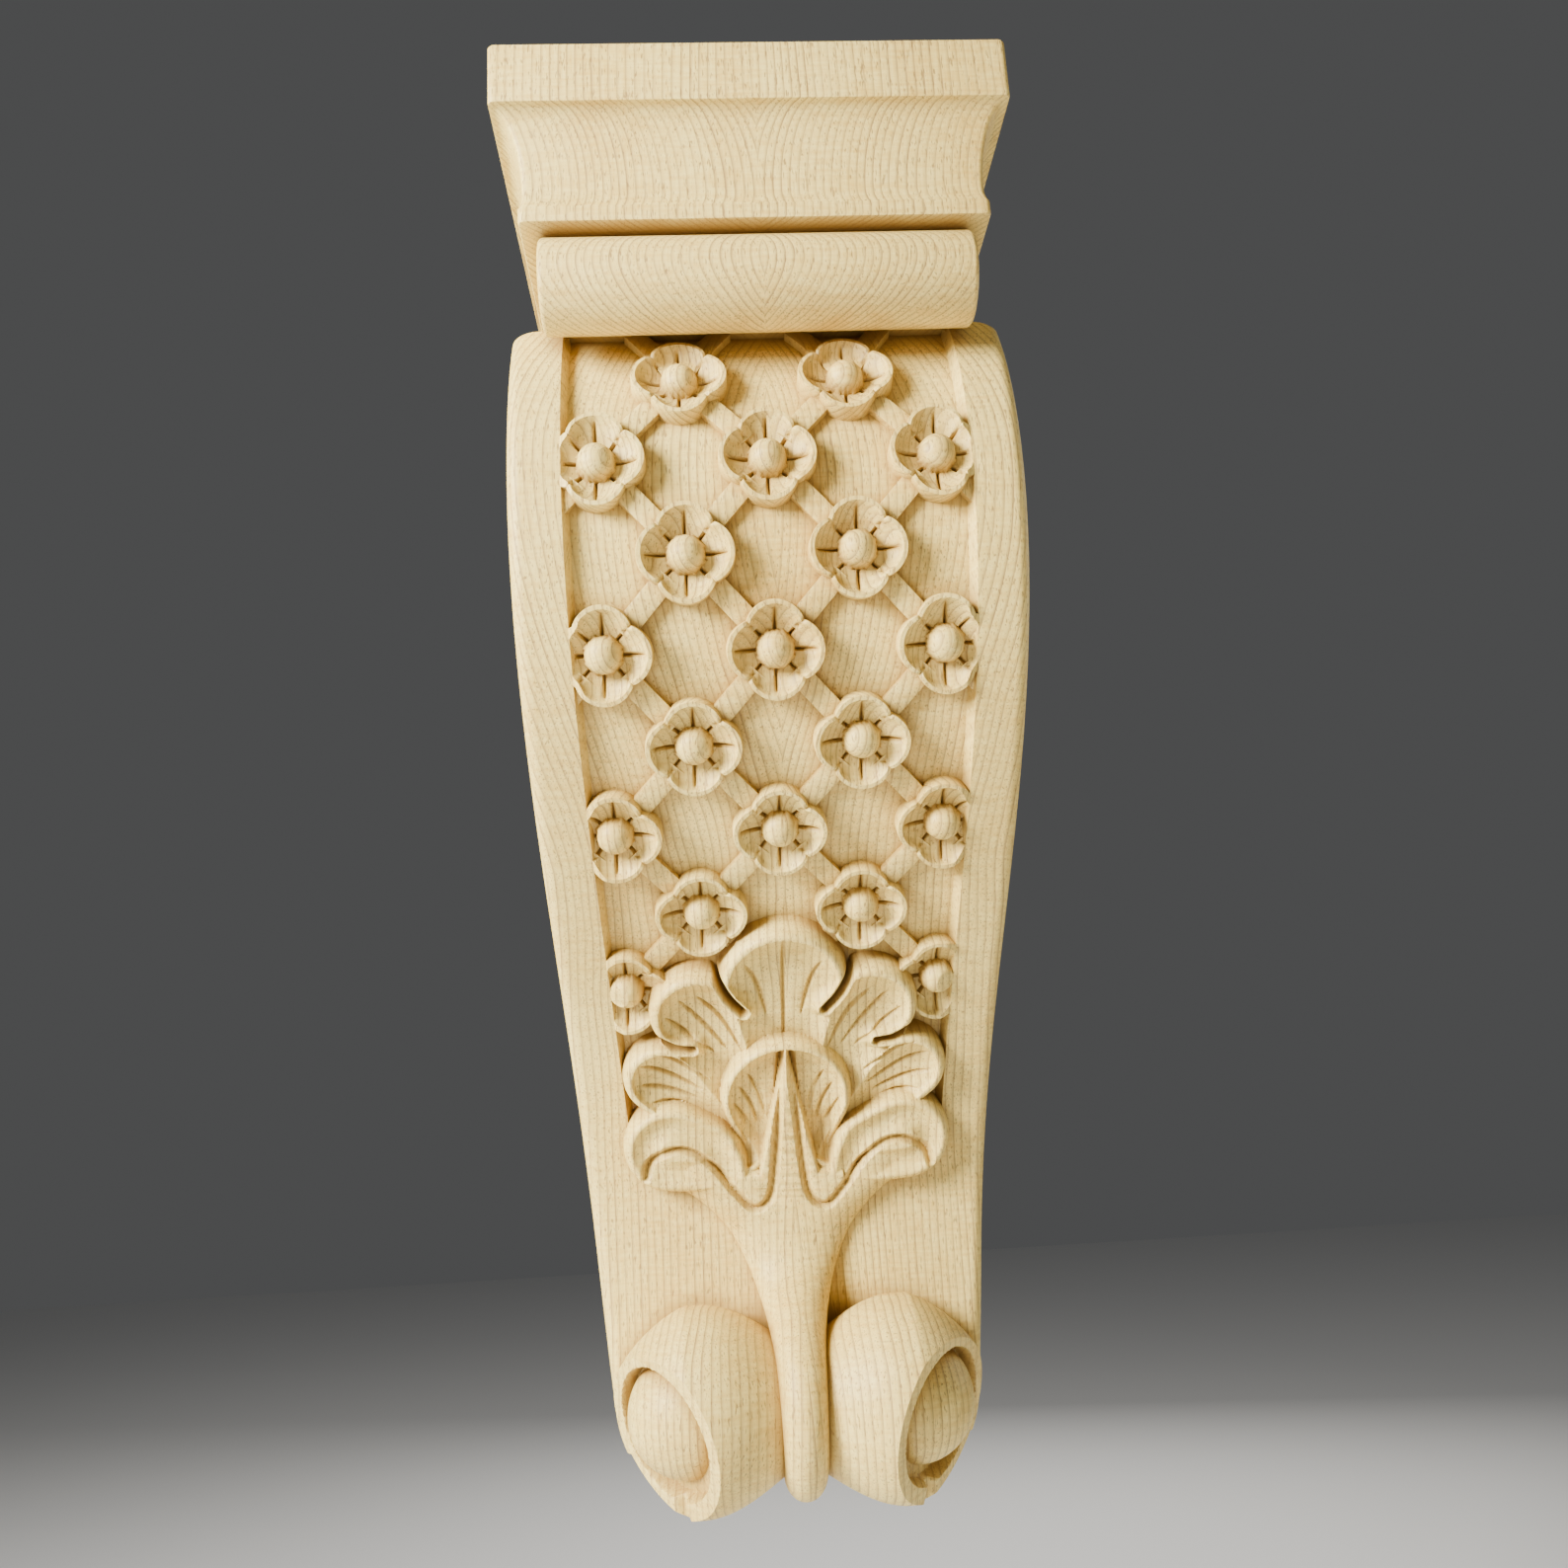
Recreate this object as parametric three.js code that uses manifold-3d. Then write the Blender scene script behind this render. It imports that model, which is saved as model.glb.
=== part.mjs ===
// Carved wooden wall corbel: moulded cap, trellis of flowers, palmette leaf, stem and two volutes.
// Millimetres. +Z is up, the back lies flat in the plane y = 0 and the front faces -Y.
// The origin is the middle of the back face.
import * as THREE from 'three';
import { mergeVertices } from 'three/addons/utils/BufferGeometryUtils.js';
import Module from 'manifold-3d';

const wasm = await Module();
wasm.setup();

// Whole carving
const HEIGHT = 351;
const WOOD_COLOUR = 0xdcc29a;

// Cap, from the top down
const CAP_OVERHANG = 1.2;
const CAP_PROJECTION = 136;
const BAND_HEIGHT = 16.5;
const COVE_HEIGHT = 24.5;
const COVE_DEPTH = 7;
const COVE_SIDES = 6;
const LIP_HEIGHT = 4;
const LIP_FLARE = 0.9;
const TORUS_RADIUS = 11.4;
const TORUS_INSET = 9.4;
const TORUS_SET_BACK = 16;
const TORUS_SIDES = 16;

// Front of the body: the sunk field, followed from the torus down to the volutes
const RAIL_DROP = 58;
const CROWN_DROP = 103.5;
const CROWN_OUT = 115.5;
const BROW_RADIUS = 75;
const WAIST_DROP = 292.5;
const WAIST_OUT = 22.5;
const SWEEP_HANDLE = 77;
const FRONT_STEPS = 24;

// Body seen from the front
const BODY_HALF_WIDTH = 62;
const FOOT_HALF_WIDTH = 48.6;
const TAPER_POWER = 1.8;
const EDGE_ROUND = 3.5;
const EDGE_SIDES = 3;
const FOOT_FLAT = 25;
const FOOT_ROUND = 27;
const FOOT_STEPS = 6;
const BACK_FOOT_RISE = 14;

// Sunk panel between the two rails
const RAIL_WIDTH = 13;
const RAIL_RISE = 3.2;
const PANEL_LENGTH = 176;

// Trellis
const FLOWER_PITCH = 40.8;
const ROW_STEP = 22.7;
const FIRST_ROW = -24.3;
const ROWS = 8;
const FLOWER_RADIUS = 11.2;
const PETAL_WAIST = 9.1;
const PETAL_POINTS = [0, 0.3, 0.7];
const FLOWER_RISE = 4.4;
const PETAL_HOLLOW = 2;
const PETAL_RIM = 1.6;
const BALL_RADIUS = 4.9;
const BALL_RISE = 2.4;
const STRAP_WIDTH = 5;
const STRAP_RISE = 2;
const STRAP_TUCK = 1;

// Palmette: each lobe is a round head joined to the root of the leaf
const ROOT_DOWN = 200;
const LOBES = [
  { across: 32.6, down: 159, head: 11.2, rise: 6.2, rim: 3.6 },
  { across: 22.2, down: 138, head: 13.2, rise: 7.2, rim: 4 },
  { across: 30.6, down: 181, head: 13.6, rise: 8.6, rim: 7.4 },
  { across: 0, down: 128.6, head: 17, rise: 8.4, rim: 4.4 },
];
const PLATE_DOWN = 168;
const PLATE_HALF_WIDTH = 29;
const PLATE_HALF_HEIGHT = 33;
const PLATE_RISE = 3.6;
const LOBE_HOLLOW = 2.6;
const LOBE_ROOT = 4;
const LOBE_STEPS = 4;
const HEAD_STEPS = 4;

// Two small inner leaves under an arch, either side of the stem's point
const ARCH_TOP = 147.5;
const ARCH_FOOT = 190;
const ARCH_HALF_WIDTH = 17.6;
const ARCH_RISE = 9.6;

// Stem: a half-round rod that spreads where it leaves the leaf
const STEM_POINT = 150;
const STEM_HALF_WIDTH = 5.3;
const STEM_RISE = 6.3;
const STEM_LEAVE = 6;
const STEM_LEAVE_HANDLE = 14.5;
const STEM_LAND = 40;
const STEM_LAND_HANDLE = 14;
const STEM_END = 104;
const STEM_TIP = 4;
const STEM_STEPS = 6;
const STEM_SIDES = 5;
const SPIKE_HALF_WIDTH = 3.7;
const FLARE_TOP = 191;
const FLARE_HALF_WIDTH = 32;
const FLARE_LENGTH = 17;
const FLARE_RISE = 5.6;

// Volutes: each is a drum that swells away from the stem, rounds in again and is cut off aslant
const DRUM_RADIUS = 25.2;
const DRUM_OUT = 34;
const DRUM_NECK_RADIUS = 16.5;
const DRUM_SWELL_FROM = 5;
const DRUM_SWELL_TO = 26;
const DRUM_ROUND_FROM = 29;
const DRUM_ROUND_POWER = 1.23;
const DRUM_STAND = 1.2;
const DRUM_STEPS = 5;
const DRUM_SIDES = 24;
const END_ACROSS = 42.5;
const END_TURN = 37;
const END_DROP = 17.7;
const END_GROOVE = 1.6;
const END_HOLLOW = 2;
const EYE_LONG = 13.6;
const EYE_WIDE = 14;
const EYE_RISE = 6.5;
const EYE_INWARD = 11.5;
const EYE_DROP = 3.2;

// Places that follow from the sizes above
const CAP_HALF_WIDTH = BODY_HALF_WIDTH + CAP_OVERHANG;
const TORUS_HALF_WIDTH = BODY_HALF_WIDTH - TORUS_INSET;
const SOFFIT = HEIGHT - BAND_HEIGHT - COVE_HEIGHT - LIP_HEIGHT;
const RAIL_TOP = HEIGHT - RAIL_DROP;
const CROWN = new THREE.Vector2(CROWN_OUT, HEIGHT - CROWN_DROP);
const WAIST = new THREE.Vector2(WAIST_OUT, HEIGHT - WAIST_DROP);
const BROW_ANGLE = Math.asin((RAIL_TOP - CROWN.y) / BROW_RADIUS);
const BROW_LENGTH = BROW_RADIUS * BROW_ANGLE;
const DRUM_CENTRE = new THREE.Vector2(DRUM_OUT, DRUM_RADIUS);
const DRUM_END = FOOT_HALF_WIDTH + DRUM_STAND;
const SINK = 2;
const SEAM = 0.1;
const CUTTER = 400;

// The field as one curve: x is the distance out from the wall, y the height above the foot
function frontCurve() {
  const brow = new THREE.EllipseCurve(CROWN.x - BROW_RADIUS, CROWN.y, BROW_RADIUS, BROW_RADIUS,
    BROW_ANGLE, 0, true);
  const sweep = new THREE.CubicBezierCurve(CROWN,
    new THREE.Vector2(CROWN.x, CROWN.y - SWEEP_HANDLE),
    new THREE.Vector2(WAIST.x, WAIST.y + SWEEP_HANDLE), WAIST);
  const plain = new THREE.LineCurve(WAIST, new THREE.Vector2(WAIST.x, DRUM_CENTRE.y));
  const path = new THREE.CurvePath();
  path.curves.push(brow, sweep, plain);
  return path;
}

const FRONT = frontCurve();
const FRONT_LENGTH = FRONT.getLength();

// A place on the front: across the face, down it from the crown, and up out of the wood
function onFront(across, down, rise) {
  const share = THREE.MathUtils.clamp((down + BROW_LENGTH) / FRONT_LENGTH, 0, 1);
  const point = FRONT.getPointAt(share);
  const along = FRONT.getTangentAt(share);
  return new THREE.Vector3(across, -(point.x - along.y * rise), point.y + along.x * rise);
}

function halfWidthAt(z) {
  const share = THREE.MathUtils.clamp((CROWN.y - z) / (CROWN.y - DRUM_CENTRE.y), 0, 1);
  return BODY_HALF_WIDTH - (BODY_HALF_WIDTH - FOOT_HALF_WIDTH) * share ** TAPER_POWER;
}

// Closed solids
function solid(geometry) {
  const bare = geometry.clone();
  bare.deleteAttribute('normal');
  bare.deleteAttribute('uv');
  const merged = mergeVertices(bare, 1e-4);
  return new wasm.Manifold(new wasm.Mesh({
    numProp: 3,
    vertProperties: new Float32Array(merged.attributes.position.array),
    triVerts: new Uint32Array(merged.index.array),
  }));
}

// A skin over rings of equal size, closed by a fan at each end
function skin(rings) {
  const size = rings[0].length;
  const positions = rings.flat().flatMap((point) => [point.x, point.y, point.z]);
  const triangles = [];
  for (let ring = 0; ring < rings.length - 1; ring += 1) {
    for (let step = 0; step < size; step += 1) {
      const here = ring * size + step;
      const next = ring * size + (step + 1) % size;
      triangles.push(here, next, next + size, here, next + size, here + size);
    }
  }
  const last = (rings.length - 1) * size;
  for (let step = 1; step < size - 1; step += 1) {
    triangles.push(0, step + 1, step, last, last + step, last + step + 1);
  }
  const geometry = new THREE.BufferGeometry();
  geometry.setAttribute('position', new THREE.Float32BufferAttribute(positions, 3));
  geometry.setIndex(triangles);
  return geometry;
}

// A side profile (out, height) pushed across the carving
function acrossProfile(points, halfWidth) {
  const geometry = new THREE.ExtrudeGeometry(new THREE.Shape(points),
    { depth: 2 * halfWidth, bevelEnabled: false });
  geometry.translate(0, 0, -halfWidth);
  const basis = new THREE.Matrix4().makeBasis(new THREE.Vector3(0, -1, 0),
    new THREE.Vector3(0, 0, 1), new THREE.Vector3(-1, 0, 0));
  return geometry.applyMatrix4(basis);
}

// A flat shape (across, up the face) raised from the field and bent to follow it
function reliefShape(shape, from, to, across, down, steps) {
  const geometry = new THREE.ExtrudeGeometry(shape,
    { depth: to - from, bevelEnabled: false, curveSegments: steps });
  return bend(geometry.translate(0, 0, from), across, down);
}

// The same shape on the other side of the middle
function mirrored(geometry) {
  const other = geometry.clone().scale(-1, 1, 1);
  const flat = other.index ? other.toNonIndexed() : other;
  const places = flat.attributes.position;
  for (let index = 0; index < places.count; index += 3) {
    const [x, y, z] = [places.getX(index), places.getY(index), places.getZ(index)];
    places.setXYZ(index, places.getX(index + 2), places.getY(index + 2), places.getZ(index + 2));
    places.setXYZ(index + 2, x, y, z);
  }
  return flat;
}

function bend(geometry, across, down) {
  const places = geometry.attributes.position;
  for (let index = 0; index < places.count; index += 1) {
    const place = onFront(across + places.getX(index), down - places.getY(index), places.getZ(index));
    places.setXYZ(index, place.x, place.y, place.z);
  }
  return geometry;
}

// Cap: a band over a cove and lip, mitred round the front and both sides
function cap() {
  const profile = [[HEIGHT, 0], [HEIGHT - BAND_HEIGHT, 0]];
  for (let step = 1; step <= COVE_SIDES; step += 1) {
    const angle = step / COVE_SIDES * Math.PI / 2;
    profile.push([HEIGHT - BAND_HEIGHT - (COVE_HEIGHT - LIP_HEIGHT) * (1 - Math.cos(angle)),
      COVE_DEPTH * Math.sin(angle)]);
  }
  profile.push([HEIGHT - BAND_HEIGHT - COVE_HEIGHT, COVE_DEPTH - LIP_FLARE]);
  profile.push([SOFFIT, COVE_DEPTH - LIP_FLARE]);
  const rings = profile.map(([z, inset]) => {
    const side = CAP_HALF_WIDTH - inset;
    const front = -(CAP_PROJECTION - inset);
    return [new THREE.Vector3(-side, 0, z), new THREE.Vector3(side, 0, z),
      new THREE.Vector3(side, front, z), new THREE.Vector3(-side, front, z)];
  });
  return solid(skin(rings));
}

// Torus: a roll with plain ends, undercut where it meets the body, and the neck of wood behind it
function torus() {
  const centre = new THREE.Vector2(CAP_PROJECTION - TORUS_SET_BACK, SOFFIT - TORUS_RADIUS);
  const underside = RAIL_TOP - SINK;
  const points = [new THREE.Vector2(0, underside), new THREE.Vector2(0, SOFFIT + SINK),
    new THREE.Vector2(centre.x, SOFFIT + SINK)];
  const end = Math.asin((centre.y - underside) / TORUS_RADIUS) - Math.PI;
  for (let step = 0; step <= TORUS_SIDES; step += 1) {
    const angle = THREE.MathUtils.lerp(Math.PI / 2, end, step / TORUS_SIDES);
    points.push(new THREE.Vector2(centre.x + TORUS_RADIUS * Math.cos(angle),
      centre.y + TORUS_RADIUS * Math.sin(angle)));
  }
  return solid(acrossProfile(points.reverse(), TORUS_HALF_WIDTH));
}

// How far a rounded edge stands back at a distance inside the corner
function roundedBy(radius, distance) {
  const short = THREE.MathUtils.clamp(radius - distance, 0, radius);
  return radius - Math.sqrt(radius * radius - short * short);
}

// Body: level slices from the rails' top to the foot, with rounded edges and narrowing downwards
function blank() {
  const slices = [];
  for (let step = 0; step <= EDGE_SIDES; step += 1) {
    const drop = EDGE_ROUND * (1 - Math.cos(step / EDGE_SIDES * Math.PI / 2));
    slices.push({ out: -onFront(0, drop - BROW_LENGTH, RAIL_RISE).y, z: RAIL_TOP - drop });
  }
  for (let step = 1; step <= FRONT_STEPS; step += 1) {
    const place = onFront(0, step / FRONT_STEPS * FRONT_LENGTH - BROW_LENGTH, RAIL_RISE);
    slices.push({ out: -place.y, z: place.z });
  }
  slices.push({ out: WAIST.x, z: BACK_FOOT_RISE });
  const rings = slices.map(({ out, z }) => {
    const side = halfWidthAt(z) - roundedBy(EDGE_ROUND, RAIL_TOP - z);
    const ring = [new THREE.Vector3(-side, 0, z), new THREE.Vector3(side, 0, z)];
    for (const turn of [1, -1]) {
      for (let step = 0; step <= EDGE_SIDES; step += 1) {
        const angle = (turn > 0 ? step : EDGE_SIDES - step) / EDGE_SIDES * Math.PI / 2;
        ring.push(new THREE.Vector3(turn * (side - EDGE_ROUND * (1 - Math.cos(angle))),
          -(out - EDGE_ROUND * (1 - Math.sin(angle))), z));
      }
    }
    return ring;
  });
  return solid(skin(rings));
}

// What the foot keeps, seen from the front: flat in the middle and rounded up at both sides
function footOutline() {
  const shape = new THREE.Shape();
  shape.moveTo(0, 0);
  shape.lineTo(FOOT_FLAT, 0);
  for (let step = 1; step <= FOOT_STEPS; step += 1) {
    const angle = step / FOOT_STEPS * Math.PI / 2;
    shape.lineTo(FOOT_FLAT + (FOOT_HALF_WIDTH - FOOT_FLAT) * Math.sin(angle),
      FOOT_ROUND * (1 - Math.cos(angle)));
  }
  shape.lineTo(CUTTER, FOOT_ROUND);
  shape.lineTo(CUTTER, CUTTER);
  shape.lineTo(0, CUTTER);
  const geometry = new THREE.ExtrudeGeometry(shape, { depth: CUTTER, bevelEnabled: false })
    .rotateX(Math.PI / 2);
  return solid(geometry).add(solid(mirrored(geometry)));
}

// The room between the rails, above the field, let into the wood by a depth and a seam
function panelSpace(depth, seam) {
  const rings = [];
  for (let step = 0; step <= FRONT_STEPS; step += 1) {
    const down = step / FRONT_STEPS * (PANEL_LENGTH + BROW_LENGTH) - BROW_LENGTH;
    const floor = onFront(0, down, 0);
    const side = halfWidthAt(floor.z) - RAIL_WIDTH + seam;
    rings.push([onFront(-side, down, -depth), onFront(side, down, -depth),
      onFront(side, down, BROW_RADIUS / 3), onFront(-side, down, BROW_RADIUS / 3)]);
  }
  rings[0].forEach((corner) => { corner.z += SINK; });
  return solid(skin(rings));
}

// Four petals round a ball, each petal a wide arc from one waist to the next
function petalReach(radius, waist, turn) {
  return waist + (radius - waist) * Math.sin(Math.PI * turn) ** 0.7;
}

// One flower: a raised rim, a hollow that falls to the ball, and the ball
function flower(across, down) {
  const top = BALL_RISE + BALL_RADIUS;
  const levels = [
    [FLOWER_RADIUS, PETAL_WAIST, -SINK],
    [FLOWER_RADIUS, PETAL_WAIST, FLOWER_RISE],
    [FLOWER_RADIUS - PETAL_RIM, PETAL_WAIST - PETAL_RIM, FLOWER_RISE],
    [BALL_RADIUS, BALL_RADIUS, FLOWER_RISE - PETAL_HOLLOW],
    [BALL_RADIUS * Math.cos(Math.PI / 5), BALL_RADIUS * Math.cos(Math.PI / 5),
      BALL_RISE + BALL_RADIUS * Math.sin(Math.PI / 5)],
    [BALL_RADIUS * Math.cos(Math.PI * 0.42), BALL_RADIUS * Math.cos(Math.PI * 0.42), top],
  ];
  const rings = levels.map(([radius, waist, rise]) => {
    const ring = [];
    for (let petal = 0; petal < 4; petal += 1) {
      for (const turn of PETAL_POINTS) {
        const reach = petalReach(radius, waist, turn);
        const angle = (petal + turn - 0.5) * Math.PI / 2;
        ring.push(onFront(across + reach * Math.cos(angle), down - reach * Math.sin(angle), rise));
      }
    }
    return ring;
  });
  return solid(skin(rings));
}

// A flat strap from one flower to the next row's flower on its left or right
function strap(across, down, side, bare) {
  const reach = new THREE.Vector2(side * FLOWER_PITCH / 2, ROW_STEP);
  const edge = new THREE.Vector2(reach.y, -reach.x).normalize().multiplyScalar(STRAP_WIDTH / 2);
  const start = (PETAL_WAIST - STRAP_TUCK) / reach.length();
  const rings = [];
  for (let step = 0; step <= 2; step += 1) {
    const share = THREE.MathUtils.lerp(bare ? 0 : start, 1 - start, step / 2);
    const x = across + reach.x * share;
    const s = down + reach.y * share;
    rings.push([onFront(x - edge.x, s - edge.y, -SINK), onFront(x + edge.x, s + edge.y, -SINK),
      onFront(x + edge.x, s + edge.y, STRAP_RISE), onFront(x - edge.x, s - edge.y, STRAP_RISE)]);
  }
  return solid(skin(rings));
}

function trellis() {
  const pieces = [];
  for (let row = -1; row < ROWS; row += 1) {
    const down = FIRST_ROW + row * ROW_STEP;
    const shifted = Math.abs(row) % 2 === 1;
    const columns = shifted ? [-1, 0, 1] : [-0.5, 0.5];
    for (const column of columns) {
      const across = column * FLOWER_PITCH;
      if (row >= 0) {
        pieces.push(flower(across, down));
      }
      if (row < ROWS - 1) {
        pieces.push(strap(across, down, -1, row < 0), strap(across, down, 1, row < 0));
      }
    }
  }
  return wasm.Manifold.union(pieces).intersect(panelSpace(2 * SINK, SEAM));
}

// One lobe of the palmette: a rim round a shallow hollow, widening from the root to a round head
function lobe({ across, down, head, rise, rim }) {
  const root = new THREE.Vector2(across / 8, ROOT_DOWN);
  const centre = new THREE.Vector2(across, down);
  const along = centre.clone().sub(root);
  const length = along.length();
  along.normalize();
  const sideways = new THREE.Vector2(-along.y, along.x);
  const stations = [];
  for (let step = 0; step <= LOBE_STEPS; step += 1) {
    const share = step / LOBE_STEPS;
    const width = THREE.MathUtils.lerp(LOBE_ROOT, head, Math.sin(share * Math.PI / 2));
    stations.push({ at: share * length, width, hollow: share });
  }
  for (let step = 1; step <= HEAD_STEPS; step += 1) {
    const angle = step / (HEAD_STEPS + 0.3) * Math.PI / 2;
    const hollow = THREE.MathUtils.clamp((1 - Math.sin(angle)) * head / rim, 0, 1);
    stations.push({ at: length + head * Math.sin(angle), width: head * Math.cos(angle), hollow });
  }
  const rings = stations.map(({ at, width, hollow }) => {
    const edge = Math.min(rim, width * 0.5);
    const section = [[-width, -SINK], [-width, rise * 0.62], [-width + edge * 0.6, rise],
      [-width + edge, rise - LOBE_HOLLOW * 0.35 * hollow], [0, rise - LOBE_HOLLOW * hollow],
      [width - edge, rise - LOBE_HOLLOW * 0.35 * hollow], [width - edge * 0.6, rise],
      [width, rise * 0.62], [width, -SINK]];
    const middle = root.clone().addScaledVector(along, at);
    return section.map(([offset, up]) => {
      const place = middle.clone().addScaledVector(sideways, offset);
      return onFront(place.x, place.y, up);
    });
  });
  return solid(skin(rings));
}

function palmette() {
  const plate = new THREE.Shape();
  plate.absellipse(0, 0, PLATE_HALF_WIDTH, PLATE_HALF_HEIGHT, 0, 2 * Math.PI);
  const pieces = [solid(reliefShape(plate, -SINK, PLATE_RISE, 0, PLATE_DOWN, 4))];
  for (const spec of LOBES) {
    pieces.push(lobe(spec));
    if (spec.across > 0) {
      pieces.push(lobe({ ...spec, across: -spec.across }));
    }
  }
  return wasm.Manifold.union(pieces);
}

// The arch over the two inner leaves
function arch() {
  const outer = new THREE.Shape();
  const crown = ARCH_FOOT - ARCH_TOP;
  outer.moveTo(0, 0);
  outer.quadraticCurveTo(ARCH_HALF_WIDTH * 1.15, crown * 0.35, ARCH_HALF_WIDTH * 0.86, crown * 0.66);
  outer.quadraticCurveTo(ARCH_HALF_WIDTH * 0.5, crown, 0, crown);
  outer.quadraticCurveTo(-ARCH_HALF_WIDTH * 0.5, crown, -ARCH_HALF_WIDTH * 0.86, crown * 0.66);
  outer.quadraticCurveTo(-ARCH_HALF_WIDTH * 1.15, crown * 0.35, 0, 0);
  return solid(reliefShape(outer, -SINK, ARCH_RISE, 0, ARCH_FOOT, 5));
}

// One station of the stem: its place and outward direction as (out, up), and the wood behind it
function stemStation(point, along, back) {
  return {
    place: new THREE.Vector3(0, -point.x, point.y),
    normal: new THREE.Vector3(0, along.y, along.x),
    back: new THREE.Vector3(0, -back.x, back.y),
  };
}

// The stem's path: down the front, out to the drums, and round them to the underside
function stemStations() {
  const waist = FRONT_LENGTH - BROW_LENGTH - (WAIST.y - DRUM_CENTRE.y);
  const stations = [];
  for (let step = 0; step < STEM_STEPS; step += 1) {
    const down = THREE.MathUtils.lerp(FLARE_TOP, waist - STEM_LEAVE, step / STEM_STEPS);
    const place = onFront(0, down, RAIL_RISE);
    const normal = onFront(0, down, RAIL_RISE + 1).sub(place);
    stations.push({ place, normal, back: onFront(0, down, -SINK) });
  }
  const leave = onFront(0, waist - STEM_LEAVE, RAIL_RISE);
  const land = THREE.MathUtils.degToRad(STEM_LAND);
  const landing = new THREE.Vector2(Math.cos(land), Math.sin(land))
    .multiplyScalar(DRUM_NECK_RADIUS).add(DRUM_CENTRE);
  const lead = new THREE.CubicBezierCurve(new THREE.Vector2(-leave.y, leave.z),
    new THREE.Vector2(-leave.y, leave.z - STEM_LEAVE_HANDLE),
    new THREE.Vector2(landing.x - STEM_LAND_HANDLE * Math.sin(land),
      landing.y + STEM_LAND_HANDLE * Math.cos(land)), landing);
  for (let step = 0; step < STEM_STEPS; step += 1) {
    const point = lead.getPointAt(step / STEM_STEPS);
    stations.push(stemStation(point, lead.getTangentAt(step / STEM_STEPS),
      new THREE.Vector2(WAIST.x - SINK, point.y)));
  }
  for (let step = 0; step <= 2 * STEM_STEPS; step += 1) {
    const angle = THREE.MathUtils.lerp(land, -THREE.MathUtils.degToRad(STEM_END), step / (2 * STEM_STEPS));
    const spoke = new THREE.Vector2(Math.cos(angle), Math.sin(angle));
    stations.push(stemStation(spoke.clone().multiplyScalar(DRUM_NECK_RADIUS).add(DRUM_CENTRE),
      new THREE.Vector2(spoke.y, -spoke.x), spoke.clone().multiplyScalar(SINK).add(DRUM_CENTRE)));
  }
  return stations;
}

function stemRing({ place, normal, back }, width, lift) {
  const ring = [];
  for (let side = 0; side <= STEM_SIDES; side += 1) {
    const angle = side / STEM_SIDES * Math.PI;
    ring.push(place.clone().addScaledVector(normal, lift * Math.sin(angle)).setX(width * Math.cos(angle)));
  }
  ring.push(back.clone().setX(-width), back.clone().setX(width));
  return ring;
}

function stem() {
  const stations = stemStations();
  const runs = [0];
  for (let index = 1; index < stations.length; index += 1) {
    runs.push(runs[index - 1] + stations[index].place.distanceTo(stations[index - 1].place));
  }
  const end = runs[runs.length - 1];
  const rings = stations.map((station, index) => {
    const spread = Math.exp(-runs[index] / FLARE_LENGTH);
    const tip = Math.sqrt(Math.min((end - runs[index] + 0.4) / STEM_TIP, 1));
    return stemRing(station, THREE.MathUtils.lerp(STEM_HALF_WIDTH, FLARE_HALF_WIDTH, spread) * tip,
      THREE.MathUtils.lerp(STEM_RISE, FLARE_RISE, spread) * tip);
  });
  return solid(skin(rings));
}

// The stem's point, between the two inner leaves
function spike() {
  const rings = [];
  for (let step = 0; step <= 3; step += 1) {
    const down = THREE.MathUtils.lerp(STEM_POINT, FLARE_TOP + SINK, step / 3);
    const place = onFront(0, down, RAIL_RISE);
    const normal = onFront(0, down, RAIL_RISE + 1).sub(place);
    rings.push(stemRing({ place, normal, back: onFront(0, down, -SINK) },
      SPIKE_HALF_WIDTH * (0.15 + 0.85 * step / 3), ARCH_RISE - RAIL_RISE + 1));
  }
  return solid(skin(rings));
}

function drumRadius(across) {
  const swell = THREE.MathUtils.clamp(
    (across - DRUM_SWELL_FROM) / (DRUM_SWELL_TO - DRUM_SWELL_FROM), 0, 1);
  const past = THREE.MathUtils.clamp(
    (across - DRUM_ROUND_FROM) / (DRUM_END - DRUM_ROUND_FROM), 0, 1);
  return THREE.MathUtils.lerp(DRUM_NECK_RADIUS, DRUM_RADIUS, Math.sin(swell * Math.PI / 2))
    * Math.sqrt(1 - past ** DRUM_ROUND_POWER);
}

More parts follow.
